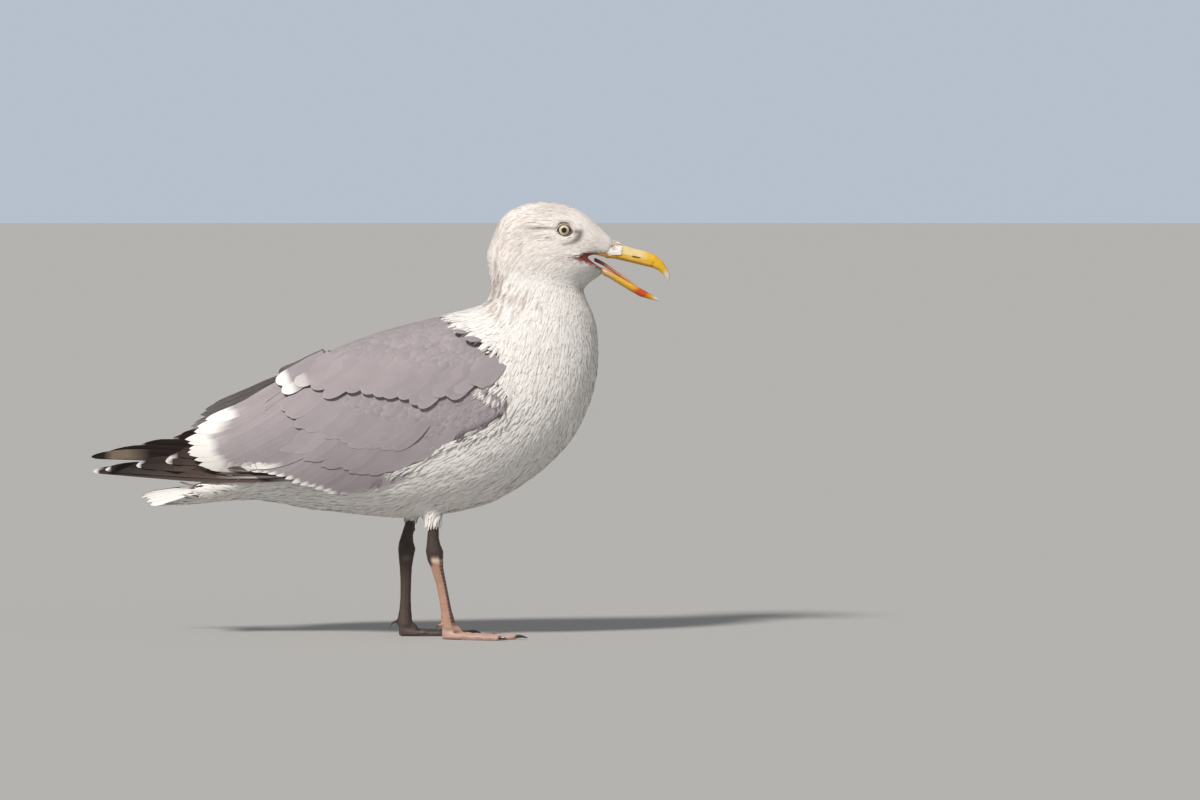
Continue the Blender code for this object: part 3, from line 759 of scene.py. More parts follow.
def joined(
    name: str, vane: Vane, points: Points, normals: Points, colours: Points, lie: Points, bake: Points
) -> Object:
    """Joins many copies of one vane into a mesh.

    Args:
        name: The object's name.
        vane: The vane that all of them share.
        points: Their points in millimetres, by feather and point.
        normals: The normals that their upper faces are shaded with, by feather and point.
        colours: Their colours, by feather and point.
        lie: Their places across and along, in centimetres.
        bake: Their places on the body's unwrap.

    Returns:
        The object.
    """
    count, size = points.shape[:2]
    shapes = points[:, vane.faces]
    turned_out = np.einsum("ijk,ijk->i", shapes[:, :, 0], np.cross(shapes[:, :, 1], shapes[:, :, 2])) > 0
    faces = np.where(turned_out[:, None, None], vane.faces[None], vane.faces[None, :, ::-1])
    corners = (faces + (np.arange(count) * size)[:, None, None]).reshape(-1).astype(np.int32)
    mesh = bpy.data.meshes.new(name)
    mesh.vertices.add(count * size)
    mesh.vertices.foreach_set("co", (points * MM).astype(np.float32).ravel())
    mesh.loops.add(len(corners))
    mesh.loops.foreach_set("vertex_index", corners)
    mesh.polygons.add(len(corners) // 3)
    mesh.polygons.foreach_set("loop_start", np.arange(0, len(corners), 3, dtype=np.int32))
    mesh.update(calc_edges=True)
    mesh.shade_smooth()
    paint(mesh, colours.reshape(-1, 3))
    for label, values in ((BAKE, bake), (LIE, lie)):
        layer = mesh.uv_layers.new(name=label)
        layer.uv.foreach_set("vector", values.reshape(-1, 2)[corners].astype(np.float32).ravel())
    facing = np.repeat(np.tile(np.where(vane.upper(), 1.0, -1.0), count), 3)[:, None]
    mesh.normals_split_custom_set((normals.reshape(-1, 3)[corners] * facing).tolist())
    return linked(name, mesh)


def bent(first: Points, middle: Points, last: Points, shares: Points) -> Points:
    """Places on the parabola through three places, by feather and point."""
    share = shares[None, :, None]
    start = 2 * (share - 0.5) * (share - 1) * first[:, None]
    return start - 4 * share * (share - 1) * middle[:, None] + 2 * share * (share - 0.5) * last[:, None]


@dataclass
class Coat:
    """A tract of many small feathers."""

    name: str
    keep: Keep
    spacing: float
    length: float
    width: float
    outline: Outline = HAIR
    sides: int = 3
    slot: str = "white_feathers"
    thickness: float = 0.07
    root_height: float = 0.88
    tip_height: float = 1.0
    camber: float = 0.1
    rounding: float = 0.3
    turn: float = 7.0
    uneven: float = 0.05
    curl: float = 0.12
    pale_edge: float = 0.0
    dim_root: float = 0.12
    tone_spread: float = 0.05
    patch: float = 0.003

    def build(self, skin: Surface, room: Points, plan: Plan, rng: Rng) -> Object:
        """Lays the feathers over the skin.

        Args:
            skin: The skin's surface.
            room: The plumage's depth at each of the skin's points.
            plan: The bird's plan.
            rng: The source of chance.

        Returns:
            The coat as one object.
        """
        roots = skin.scattered(rng, self.spacing, self.keep)
        roots, normals, near = skin.nearest(roots)
        roots, normals, near = picked(self.open_to_air(skin, roots, normals), roots, normals, near)
        size = self.keep(roots, normals)
        size[size <= 0] = 1.0
        count = len(roots)
        turns = np.radians(rng.normal(0, self.turn, count))
        length = self.length * size * rng.uniform(0.85, 1.15, count)
        width = self.width * size * rng.uniform(0.85, 1.15, count)
        ways = self.turned(plan.lie(roots, normals), normals, turns)
        middles, middle_normals, middle_near = self.stepped(skin, roots, normals, ways, length / 2)
        onward = self.turned(plan.lie(middles, middle_normals), middle_normals, turns)
        tips, tip_normals, tip_near = self.stepped(skin, middles, middle_normals, onward, length / 2)
        kept = ((tips - roots) * ways).sum(axis=1) > 0.5 * length
        if self.slot == "mantle_feathers":
            kept &= ((normals * tip_normals).sum(axis=1) > 0.8) & (room[near] < 1.3 * room[tip_near] + 0.3)
        roots, normals, near, length, width = picked(kept, roots, normals, near, length, width)
        middles, middle_normals, middle_near = picked(kept, middles, middle_normals, middle_near)
        tips, tip_normals, tip_near = picked(kept, tips, tip_normals, tip_near)
        count = len(roots)
        vane = Vane.lofted(self.sides, self.outline)
        across, lens, share = vane.points.T
        spine = bent(roots, middles, tips, share)
        up = unit(bent(normals, middle_normals, tip_normals, share))
        ahead = unit(bent(roots, middles, tips, share + 0.02) - bent(roots, middles, tips, share - 0.02))
        aside = unit(np.cross(up, ahead))
        rooms = bent(*(room[index][:, None] for index in (near, middle_near, tip_near)), share)[..., 0]
        tall = self.tip_height * (1 + rng.normal(0, self.uneven, count))[:, None]
        height = rooms * (self.root_height + (tall - self.root_height) * share**0.8)
        height += self.curl * share**3 * rng.uniform(0, 1.4, count)[:, None]
        half = width[:, None] / 2
        height += lens * self.thickness - self.camber * across**2 * half
        points = spine + aside * (across * half)[..., None] + up * height[..., None]
        facing = unit(up + aside * (across * self.rounding)[..., None])
        grey = plan.grey(roots)[:, None] * np.ones(len(share))
        colours = plan.marked(points.reshape(-1, 3), grey.ravel()).reshape(count, -1, 3)
        rim = (np.clip(np.abs(across) * 1.05, 0, 1) ** 3 + step(0.8, 1.0, share)) * self.pale_edge
        colours = coated(colours, (Tone.GREY_EDGE, np.clip(rim, 0, 1) * grey))
        tone = 1 + rng.normal(0, self.tone_spread, (count, 1)) - self.dim_root * (1 - share)
        colours = np.clip(colours * tone[..., None], 0, 1)
        lie = np.stack([across * half, share * length[:, None]], axis=2) / 10
        return joined(self.name, vane, points, facing, colours, lie, self.baked(plan, roots, across, share))

    @staticmethod
    def open_to_air(skin: Surface, roots: Points, normals: Points) -> Points:
        """Whether nothing of the body lies just outside each root."""
        clear = []
        for root, normal in zip(roots, normals):
            start = Vector(root) + Vector(normal) * 0.4
            clear.append(skin.tree.ray_cast(start, Vector(normal), 25.0)[0] is None)
        return np.array(clear)

    @staticmethod
    def turned(ways: Points, normals: Points, turns: Points) -> Points:
        """Directions turned about the normals."""
        aside = np.cross(normals, ways)
        return ways * np.cos(turns)[:, None] + aside * np.sin(turns)[:, None]

    @staticmethod
    def stepped(
        skin: Surface, places: Points, normals: Points, ways: Points, length: Points
    ) -> tuple[Points, Points, Points]:
        """A step along the surface; where the surface ends or turns away, the step goes straight on."""
        aims = places + ways * length[:, None]
        hits, hit_normals, near = skin.nearest(aims)
        off = np.linalg.norm(hits - aims, axis=1) > 0.3 * length + 0.5
        off |= (hit_normals * normals).sum(axis=1) < 0.6
        hits[off] = aims[off]
        hit_normals[off] = normals[off]
        return hits, hit_normals, near

    def baked(self, plan: Plan, roots: Points, across: Points, share: Points) -> Points:
        """Each feather's patch, at its root's place on the body's unwrap."""
        spots = plan.unwrapped(roots)
        low, high = spots.min(axis=0), spots.max(axis=0)
        spots = 0.02 + 0.96 * (spots - low) / (high - low)
        inside = np.stack([across, 2 * share - 1], axis=1) * self.patch / 2
        return spots[:, None] + inside[None]


# ---------- finishes


def node(
    tree: NodeTree, kind: str, values: dict[str | int, object] | None = None, **settings: object
) -> Node:
    """Adds a node.

    Args:
        tree: The tree that it goes into.
        kind: The node's type.
        values: What its inputs take: a value, or the output that feeds one.
        settings: Its properties.

    Returns:
        The node.
    """
    made = tree.nodes.new(kind)
    for label, value in settings.items():
        setattr(made, label, value)
    for label, value in (values or {}).items():
        if isinstance(value, NodeSocket):
            tree.links.new(value, made.inputs[label])
        else:
            made.inputs[label].default_value = value
    return made


def sums(tree: NodeTree, operation: str, *terms: object) -> NodeSocket:
    """The output of a Math node over one to three terms."""
    return node(tree, "ShaderNodeMath", dict(enumerate(terms)), operation=operation).outputs[0]


def noise(tree: NodeTree, vector: NodeSocket, scale: object, **more: float) -> NodeSocket:
    """The output of a Noise Texture node."""
    values = {"Vector": vector, "Scale": scale, "Detail": 4.0, **more}
    return node(tree, "ShaderNodeTexNoise", values).outputs[0]


class Effects:
    """The node groups that several finishes share."""

    RAGGED = 0.6  # how far the barbs wander, as a part of their spacing

    def __init__(self) -> None:
        """Builds the groups."""
        self.barbs = self.barb_group()
        self.mottle = self.mottle_group()

    @staticmethod
    def started(name: str, inputs: Sequence[str], outputs: Sequence[str]) -> tuple:
        """Starts a group.

        Args:
            name: The group's name.
            inputs: The names of its inputs after Vector, which are numbers.
            outputs: The names of its outputs, which are numbers.

        Returns:
            The group, its input node's outputs and its output node's inputs.
        """
        group = bpy.data.node_groups.new(name, "ShaderNodeTree")
        group.interface.new_socket("Vector", in_out="INPUT", socket_type="NodeSocketVector")
        for way, labels in (("INPUT", inputs), ("OUTPUT", outputs)):
            for label in labels:
                group.interface.new_socket(label, in_out=way, socket_type="NodeSocketFloat")
        return group, group.nodes.new("NodeGroupInput").outputs, group.nodes.new("NodeGroupOutput").inputs

    def barb_group(self) -> NodeTree:
        """Barbs that slant away from a feather's shaft, and the shaft itself."""
        group, given, made = self.started("barbs", ("Per centimetre", "Slant"), ("Height", "Shade"))
        parts = node(group, "ShaderNodeSeparateXYZ", {0: given["Vector"]})
        outwards = sums(group, "ABSOLUTE", parts.outputs[0])
        run = sums(group, "SUBTRACT", parts.outputs[1], sums(group, "MULTIPLY", outwards, given["Slant"]))
        ragged = noise(group, given["Vector"], 5.0, Detail=2.0)
        wobble = sums(group, "MULTIPLY", ragged, self.RAGGED)
        turns = sums(group, "MULTIPLY_ADD", run, given["Per centimetre"], wobble)
        wave = sums(group, "SINE", sums(group, "MULTIPLY", turns, math.tau))
        along_barbs = node(group, "ShaderNodeCombineXYZ", {0: outwards, 1: run}).outputs[0]
        streaks = noise(group, along_barbs, 22.0, Detail=3.0)
        height = sums(group, "MULTIPLY", sums(group, "MULTIPLY_ADD", wave, 0.5, 0.5), streaks)
        group.links.new(height, made["Height"])
        group.links.new(streaks, made["Shade"])
        return group

    def mottle_group(self) -> NodeTree:
        """A soft unevenness of tone, from low to high."""
        group, given, made = self.started("mottle", ("Scale", "Low", "High"), ("Value",))
        soft = noise(group, given["Vector"], given["Scale"], Roughness=0.6)
        ends = {"Value": soft, 1: 0.3, 2: 0.7, "To Min": given["Low"], "To Max": given["High"]}
        group.links.new(node(group, "ShaderNodeMapRange", ends).outputs[0], made["Value"])
        return group


class Finish:
    """A material under way: its tree, its shader and the coordinates that its patterns follow."""

    def __init__(self, name: str, effects: Effects, **constants: object) -> None:
        """Starts the material and sets the shader's constant sockets."""
        self.material = bpy.data.materials.new(name)
        self.material.use_nodes = True
        self.tree = self.material.node_tree
        self.shader = self.tree.nodes["Principled BSDF"]
        self.effects = effects
        for label, value in constants.items():
            self.shader.inputs[label.replace("_", " ")].default_value = value
        self.place = node(self.tree, "ShaderNodeTexCoord").outputs["Object"]

    def uv(self, label: str) -> NodeSocket:
        """The piece's own UV map."""
        return node(self.tree, "ShaderNodeUVMap", uv_map=label).outputs[0]

    def attribute(self, label: str) -> Node:
        """One of the piece's own attributes."""
        return node(self.tree, "ShaderNodeAttribute", attribute_name=label)

    def mottle(self, scale: float, low: float, high: float) -> NodeSocket:
        """Soft unevenness on the piece's own coordinates."""
        values = {"Vector": self.place, "Scale": scale, "Low": low, "High": high}
        return node(self.tree, "ShaderNodeGroup", values, node_tree=self.effects.mottle).outputs[0]

    def barbs(self, per_centimetre: float, slant: float) -> Node:
        """Barbs along the feathers' own map."""
        values = {"Vector": self.uv(LIE), "Per centimetre": per_centimetre, "Slant": slant}
        return node(self.tree, "ShaderNodeGroup", values, node_tree=self.effects.barbs)

    def toned(self, colour: object, value: NodeSocket) -> NodeSocket:
        """A colour multiplied by a number."""
        grey = node(self.tree, "ShaderNodeCombineColor", {0: value, 1: value, 2: value}).outputs[0]
        values = {0: 1.0, 6: colour, 7: grey}
        return node(self.tree, "ShaderNodeMix", values, data_type="RGBA", blend_type="MULTIPLY").outputs[2]

    def colour_by(self, tone: NodeSocket) -> None:
        """Feeds the base colour from the piece's own colours, multiplied by a tone."""
        self.feed("Base Color", self.toned(self.attribute(COLOUR).outputs["Color"], tone))

    def feed(self, label: str, value: NodeSocket) -> None:
        """Feeds one of the shader's sockets."""
        self.tree.links.new(value, self.shader.inputs[label])

    def bump(self, height: NodeSocket, distance: float, strength: float = 1.0) -> None:
        """Feeds the shader's normal from a height, with its full depth in metres."""
        values = {"Height": height, "Distance": distance, "Strength": strength}
        self.feed("Normal", node(self.tree, "ShaderNodeBump", values).outputs[0])


@dataclass(frozen=True)
class PlumageFinish:
    """The finish of a coat: painted feathers with barbs."""

    name: str
    per_centimetre: float = 16.0
    slant: float = 1.5
    barb_depth: float = 0.00008
    shade: float = 0.10
    roughness: float = 0.78
    sheen: float = 0.12
    soft: float = 0.0

    def build(self, effects: Effects) -> Finish:
        """Makes the material."""
        finish = Finish(
            self.name,
            effects,
            Roughness=self.roughness,
            Sheen_Weight=self.sheen,
            Sheen_Roughness=0.5,
            Specular_IOR_Level=0.25,
            Subsurface_Weight=self.soft,
            Subsurface_Scale=0.003,
        )
        barbs = finish.barbs(self.per_centimetre, self.slant)
        tree = finish.tree
        shade = sums(tree, "MULTIPLY_ADD", barbs.outputs["Shade"], 2 * self.shade, 1 - self.shade)
        tone = sums(tree, "MULTIPLY", shade, finish.mottle(45.0, 0.95, 1.03))
        finish.colour_by(tone)
        finish.bump(barbs.outputs["Height"], self.barb_depth)
        return finish


# ---------- the skin


@dataclass(frozen=True)
class SkinFinish:
    """The finish of the skin: pale under the plumage, scaly and pink on the legs."""

    scale_per_metre: float = 1250.0

    def build(self, effects: Effects) -> Finish:
        """Makes the material."""
        finish = Finish("skin", effects, Roughness=0.6, Subsurface_Weight=0.06, Subsurface_Scale=0.002)
        tree = finish.tree
        scales = node(
            tree,
            "ShaderNodeTexVoronoi",
            {"Vector": finish.place, "Scale": self.scale_per_metre, "Randomness": 0.8},
            feature="DISTANCE_TO_EDGE",
        )
        ends = {"Value": scales.outputs[0], 1: 0.0, 2: 0.16, 3: 0.0, 4: 1.0}
        furrow = node(tree, "ShaderNodeMapRange", ends).outputs[0]
        bare = finish.attribute("Bare").outputs["Fac"]
        sunk = sums(tree, "MULTIPLY", bare, sums(tree, "SUBTRACT", 1.0, furrow))
        groove = sums(tree, "SUBTRACT", 1.0, sunk)
        darker = sums(tree, "MULTIPLY_ADD", groove, 0.22, 0.78)
        tone = sums(tree, "MULTIPLY", darker, finish.mottle(160.0, 0.86, 1.1))
        finish.colour_by(tone)
        finish.feed("Roughness", sums(tree, "MULTIPLY_ADD", bare, -0.22, 0.68))
        finish.bump(groove, 0.00006)
        return finish


@dataclass
class Skin:
    """The one skin that replaces the nodes of flesh, body and legs together."""

    nodes: dict[str, Object]
    plan: Plan
    voxel: float = 2.3
    swell: float = 0.35
    rounds: int = 7
    trunk_rounds: int = 24
    leg_voxel: float = 0.62
    leg_swell: float = 0.2
    leg_rounds: int = 3
    joint_rounds: int = 22
    room_share: float = 0.35  # the most of a thin part's thickness that the plumage may take
    scute_depth: float = 0.28
    knuckle: float = 0.5
    form: Surface = field(init=False)
    surface: Surface = field(init=False)
    room: Points = field(init=False)

    TOE_JOINTS = (18.0, 31.0, 43.0)
    SCUTE = 3.3  # a plate's height on the shank
    TOE_SCUTE = 2.4  # a plate's length on a toe

    def shape_body(self) -> None:
        """Makes the outer form, then the skin inside it by the plumage's depth."""
        shapes = [merged_node(self.nodes[name], self.swell) for name in FLESH]
        for shape, name in zip(shapes, FLESH):
            if name.startswith("wing"):
                self.trim(shape)
        grown = union(shapes, self.voxel, self.rounds, self.on_trunk, self.trunk_rounds)
        self.form = grown.moved(-self.swell)
        points, normals = self.form.points, self.form.normals
        depth = self.plan.depth(points)
        limit = self.form.thickness(points, normals, 30.0) * self.room_share
        self.room = np.where(self.plan.near_mouth(points, normals), 0.2, np.minimum(depth, limit))
        self.surface = self.form.moved(-self.room)

    @staticmethod
    def trim(wing: BMesh) -> None:
        """Takes the rear and lower part off a wing, which is all long feathers and no flesh."""
        parts = [*wing.verts, *wing.edges, *wing.faces]
        plane = {"plane_co": (-34, 0, 186), "plane_no": (-0.74, 0, -0.67)}
        cut = bmesh.ops.bisect_plane(wing, geom=parts, clear_outer=True, **plane)["geom_cut"]
        bmesh.ops.edgeloop_fill(wing, edges=[item for item in cut if isinstance(item, BMEdge)])

    @staticmethod
    def on_trunk(place: Vector) -> bool:
        """Whether a place is on the trunk or its wings, where the solids' edges are melted away."""
        return -95 < place.x < 190 and 125 < place.z < 312

    @staticmethod
    def end_middle(places: Sequence[Vector], way: int) -> Vector:
        """The middle of the places at the top (way 1) or the bottom (way -1)."""
        end = max(place.z * way for place in places)
        ring = [place for place in places if place.z * way > end - 0.5]
        return sum(ring, Vector()) / len(ring)

    @staticmethod
    def ball(sizes: tuple[float, float, float], tilt: float, place: Vector) -> BMesh:
        """An ellipsoid of three half sizes, tilted forwards by some degrees."""
        shape = bmesh.new()
        bmesh.ops.create_uvsphere(shape, u_segments=20, v_segments=14, radius=1.0)
        turn = Matrix.Rotation(math.radians(tilt), 4, "Y")
        frame = Matrix.Translation(place) @ turn @ Matrix.Diagonal((*sizes, 1.0))
        bmesh.ops.transform(shape, matrix=frame, verts=shape.verts)
        return shape

    def shape_leg(self, side: Side) -> Surface:
        """Makes one bare leg, with a stub that runs up inside the thigh."""
        name = side.word
        parts = [self.nodes[part + name] for part in ("shank_", "foot_", "hallux_")]
        shapes = [merged_node(part, self.leg_swell) for part in parts]
        shank = [vert.co.copy() for vert in shapes[0].verts]
        knee, heel = self.end_middle(shank, 1), self.end_middle(shank, -1)
        stub = bmesh.new()
        bmesh.ops.create_cone(stub, cap_ends=True, segments=16, radius1=4.2, radius2=3.0, depth=22)
        top = node_box("shank_" + name)[1].z
        bmesh.ops.translate(stub, verts=stub.verts, vec=(knee.x, knee.y, top + 2))
        knuckle = self.ball((6.6, 4.6, 5.0), 0, heel + Vector((1.0, 0, -0.6)))
        instep = self.ball((7.5, 3.6, 3.6), 28, heel + Vector((5.5, 0, 0.8)))

        def at_joint(place: Vector) -> bool:
            """Whether a place is round the base of the toes."""
            return place.z < 18 and (place - heel).to_2d().length < 15

        shapes += [stub, knuckle, instep]
        leg = union(shapes, self.leg_voxel, self.leg_rounds, at_joint, self.joint_rounds)
        return leg.moved(-self.leg_swell + self.scutes(leg.points, side))

    def shank_line(self, places: Points, side: Side) -> tuple[Points, Points]:
        """The shank's middle at each height: X and Y."""
        name = "shank_" + side.word
        shank = merged_node(self.nodes[name])
        rows = np.array([tuple(vert.co) for vert in shank.verts])
        shank.free()
        levels = np.unique(np.round(rows[:, 2], 1))
        near = [np.abs(rows[:, 2] - level) < 0.06 for level in levels]
        middles = np.array([rows[ring, :2].mean(axis=0) for ring in near])
        return tuple(np.interp(places[:, 2], levels, middles[:, axis]) for axis in range(2))

    def scutes(self, places: Points, side: Side) -> Points:
        """How far the horny plates stand out, with grooves between them."""
        x, y, z = places.T
        middle_x, middle_y = self.shank_line(places, side)
        front = np.arctan2(np.abs(y - middle_y), x - middle_x)
        on_shank = step(10, 14, z) * step(100, 94, z)
        plates = step(1.0, 0.62, bands(z + 0.8 * np.cos(front), self.SCUTE)) * step(1.25, 0.95, front)
        heel = step(1.0, 0.6, bands(z, 2.1)) * step(2.2, 2.6, front) * 0.6
        shank = on_shank * np.maximum(plates, heel)
        run = np.hypot(x - middle_x, y - middle_y)
        raised = step(1.6, 3.0, z) * step(9.5, 7.5, z)
        toes = step(1.0, 0.55, bands(run, self.TOE_SCUTE)) * raised * step(9, 13, run)
        knuckles = sum(np.exp(-(((run - joint) / 2.6) ** 2)) for joint in self.TOE_JOINTS) * raised
        return self.scute_depth * (np.maximum(shank, toes) - 0.4) + self.knuckle * knuckles

    def leg_colours(self, places: Points, side: Side) -> Points:
        """Tan and pink, dark down the front, with a pale pad; painted shade darkens it above the ankle, and
        all over on the left leg.
        """
        x, y, z = places.T
        middle_x, middle_y = self.shank_line(places, side)
        pink = mixed(Tone.TOE_PINK, Tone.LEG_PINK, step(7, 16, z)[:, None])
        ahead = x - middle_x
        # painted shade: dark above the ankle, reaching lower at the front
        shade = 0.93 * step(66.5, 70.5, z - 0.5 * ahead)
        pad = np.exp(-(((ahead - 0.2) / 3.6) ** 4) - ((z - 70.6) / 2.6) ** 2)
        shade *= 1 - 0.97 * pad
        line = step(1.6, 3.0, ahead) * step(10, 16, z) * step(76, 66, z)
        line *= mixed(0.62, 0.95, step(0.45, 0.9, bands(z + 0.6, self.SCUTE)))
        high = step(4.6, 3.4, ahead) * step(60, 66, z)
        shade = np.maximum(shade, line * (1 - high * 0.2))
        toe = bands(np.hypot(ahead, y - middle_y), self.TOE_SCUTE)
        shade = np.maximum(shade, 0.3 * step(0.8, 1.0, toe) * step(8, 5, z) * step(9, 13, ahead))
        # painted shade: the far, left leg is painted dark all over
        if side is Side.LEFT:
            shade = np.maximum(shade, 0.9)
        web = step(2.6, 1.6, z) * step(0.3, 0.9, z)
        shade = np.maximum(shade, 0.3 * web)
        # the pale pad, faint on the left leg, which is painted in shade
        pad_share = pad * (0.85 if side is Side.RIGHT else 0.12)
        return coated(pink, (Tone.LEG_DARK, shade), (Tone.ANKLE_PAD, pad_share))

    def build(self, effects: Effects) -> None:
        """Joins the body's and the legs' skin, paints it and dresses it."""
        legs = [(self.shape_leg(side), side) for side in Side]
        grey = self.plan.grey(self.surface.points)
        colours = [self.plan.marked(self.form.points, grey) * 0.92]
        mouth = self.plan.near_mouth(self.form.points, self.form.normals)
        colours[0][mouth] = Tone.MOUTH
        bare = [np.where(mouth, 0.3, 0.0)]
        for leg, side in legs:
            colours.append(self.leg_colours(leg.points, side))
            bare.append(np.ones(len(leg.points)))
        whole = Surface.together([self.surface, *(leg for leg, _ in legs)])
        skin = painted_object("skin", whole, np.concatenate(colours), np.concatenate(bare))
        placed(skin, SkinFinish().build(effects), "white_feathers", *FLESH, *LEG_FLESH)


# ---------- the coats


@dataclass
class Plumage:
    """All the tracts of small feathers."""

    plan: Plan
    skin: Skin

    HEAD_CUT = (346.0, 0.378, 95.3)
    NECK_CUT = (322.0, 0.425, 98.5)

    def __post_init__(self) -> None:
        """Reads the solids of the wings and of their long feathers."""
        self.covers = []
        for name in ("wing_right", "wing_left", "primaries_right", "primaries_left"):
            shape = merged_node(self.skin.nodes[name])
            self.covers.append(BVHTree.FromBMesh(shape))
            shape.free()

    def covered(self, places: Points, normals: Points, reach: float = 16.0) -> Points:
        """Whether a wing or its long feathers lie over each place."""
        found = []
        for place, normal in zip(places, normals):
            start, way = Vector(place) + Vector(normal) * 0.3, Vector(normal)
            found.append(any(cover.ray_cast(start, way, reach)[0] is not None for cover in self.covers))
        return np.array(found, bool)

    @staticmethod
    def above(places: Points, cut: tuple[float, float, float]) -> Points:
        """How far each place is above a slanting cut: its height, its slope and where along X."""
        height, slope, x = cut
        return places[:, 2] - (height - slope * (places[:, 0] - x))

    def head(self, places: Points, normals: Points) -> Points:
        """The head, smallest at the bill and round the eye."""
        x, _, z = places.T
        reach = self.plan.eye_distance(places)
        size = mixed(1.15, 0.62, step(165, 206, x)) + 0.25 * step(202, 206, x)
        size = size * mixed(1.0, 0.62, step(17, 7, reach))
        clear = ((reach > 5.9) | (z < 340)) & ~self.plan.near_mouth(places, normals)
        return size * (self.above(places, self.HEAD_CUT) > -2) * clear

    def neck(self, places: Points, normals: Points) -> Points:
        """The neck, between the cuts."""
        return 1.0 * (self.above(places, self.HEAD_CUT) <= -2) * (self.above(places, self.NECK_CUT) > -3)

    def trunk_white(self, places: Points, normals: Points) -> Points:
        """The white of the trunk, above the bare legs."""
        x, _, z = places.T
        white = (self.above(places, self.NECK_CUT) <= -3) & (self.plan.grey(places) < 0.5) & (z > 106)
        white &= (x > -120) | (normals[:, 0] > mixed(-0.55, -0.2, step(-140, -156, x)))
        white &= (x > -153) | (z < 133) | (normals[:, 2] < -0.2)
        behind = white & (x < -20)
        white[behind] = ~self.covered(places[behind], normals[behind])
        return white

    @staticmethod
    def is_breast(places: Points) -> Points:
        """Whether white feathers there belong to the breast, not to the belly."""
        return places[:, 0] + 0.5 * (places[:, 2] - 200) > 82

    def breast(self, places: Points, normals: Points) -> Points:
        """The breast and the front of the belly."""
        return 1.0 * (self.trunk_white(places, normals) & self.is_breast(places))

    def belly(self, places: Points, normals: Points) -> Points:
        """The flanks, the belly, the vent and the tail's coverts."""
        by_legs = step(128, 110, places[:, 2]) * step(-40, 0, places[:, 0])
        return mixed(1.1, 0.55, by_legs) * (self.trunk_white(places, normals) & ~self.is_breast(places))

    def fringe(self, places: Points, normals: Points) -> Points:
        """The breast's and the flank's long feathers, which lie over the wing's front edge."""
        x, _, z = places.T
        ahead = x - np.interp(z, *self.plan.FRONT.T)
        inside = step(141, 148, z) * step(244, 234, z) > 0.4
        return 1.0 * (ahead > -0.5) * (ahead < 9) * inside * (np.abs(normals[:, 1]) > 0.3)

    @staticmethod
    def bill_base(places: Points, normals: Points) -> Points:
        """The wedge of feathers that runs forward on each side of the bill."""
        x, _, z = places.T
        reach = np.interp(z, (345.4, 346.4, 349, 353, 356.5, 359), (208, 216.6, 216.4, 215.2, 213.6, 211.0))
        return 1.0 * (x < reach) * (z > 345.8)

    def is_mantle(self, places: Points) -> Points:
        """Whether grey feathers there belong to the back and shoulders, not to the wing."""
        stations = (-175, -140, -85, -40, 0, 40, 75, 96, 120)
        line = np.interp(places[:, 0], stations, (206, 216, 238, 234, 226, 222, 226, 232, 236))
        return self.plan.lowered(places) > line

    def mantle(self, places: Points, normals: Points) -> Points:
        """The back and the shoulders, smallest at the front."""
        size = mixed(1.15, 0.6, step(20, 100, places[:, 0]))
        open_back = (places[:, 0] > -70) | (normals[:, 2] > 0.5) & (places[:, 0] > -90)
        return size * self.plan.well_grey(places, normals, 8.0) * self.is_mantle(places) * open_back

    def coverts(self, side: Side) -> Keep:
        """The wing's coverts on one side, smallest at its bend."""

        def keep(places: Points, normals: Points) -> Points:
            """Sizes of the coverts, 0 off the wing."""
            x, y, _ = places.T
            stations = (-95, -81, -66, -47, -27, -8, 30, 60, 120)
            low = np.interp(x, stations, (238, 224, 206, 196, 188, 182, 176, 150, 150))
            on_wing = self.plan.well_grey(places, normals) & ~self.is_mantle(places)
            on_wing &= (y * side.value > 0) & (self.plan.lowered(places) > low)
            return mixed(1.1, 0.55, step(0, 110, x)) * on_wing

        return keep

    def thighs(self, places: Points, normals: Points) -> Points:
        """The feathered lower end of the thighs."""
        return 1.0 * (places[:, 2] <= 109)

    def build(self, rng: Rng, effects: Effects) -> None:
        """Lays and dresses every tract."""
        fine = PlumageFinish("head_plumage", 30.0, 0.8, 0.00005, 0.14, 0.8).build(effects)
        white = PlumageFinish("white_plumage", 22.0, 1.0, 0.00006, 0.12, 0.8).build(effects)
        grey = PlumageFinish("grey_plumage", 15.0, 1.5, 0.00007, 0.09, 0.75).build(effects)
        scales = {"outline": SCALE, "sides": 8, "slot": "mantle_feathers"}
        right, left = (self.coverts(side) for side in (Side.RIGHT, Side.LEFT))
        tracts = (
            (fine, Coat("coat_head", self.head, 0.86, 5.6, 1.35, turn=8)),
            (white, Coat("coat_neck", self.neck, 1.05, 9.0, 1.9, STRAND, turn=8)),
            (white, Coat("coat_breast", self.breast, 1.62, 13.0, 2.9, STRAND)),
            (white, Coat("coat_belly", self.belly, 1.75, 15.0, 3.2, STRAND, turn=6)),
            (white, Coat("coat_flank", self.fringe, 1.25, 17.0, 2.3, STRAND, tip_height=1.3, curl=0.05)),
            (white, Coat("coat_thighs", self.thighs, 0.85, 6.5, 1.4, curl=0.1)),
            (grey, Coat("coat_mantle", self.mantle, 2.8, 15.5, 8.4, pale_edge=0.15, **scales)),
            (grey, Coat("coat_wing_right", right, 2.9, 15.5, 8.4, pale_edge=0.12, **scales)),
            (grey, Coat("coat_wing_left", left, 2.9, 15.5, 8.4, pale_edge=0.12, **scales)),
        )
        for finish, coat in tracts:
            placed(coat.build(self.skin.surface, self.skin.room, self.plan, rng), finish, coat.slot)
        base = Coat("coat_bill_base", self.bill_base, 0.5, 5.0, 0.9, turn=9, curl=0.05, thickness=0.04)
        bill = surface_of(merged_node(self.skin.nodes["bill_upper"], -0.1))
        placed(base.build(bill, np.full(len(bill.points), 1.0), self.plan, rng), fine, base.slot)


# ---------- large feathers


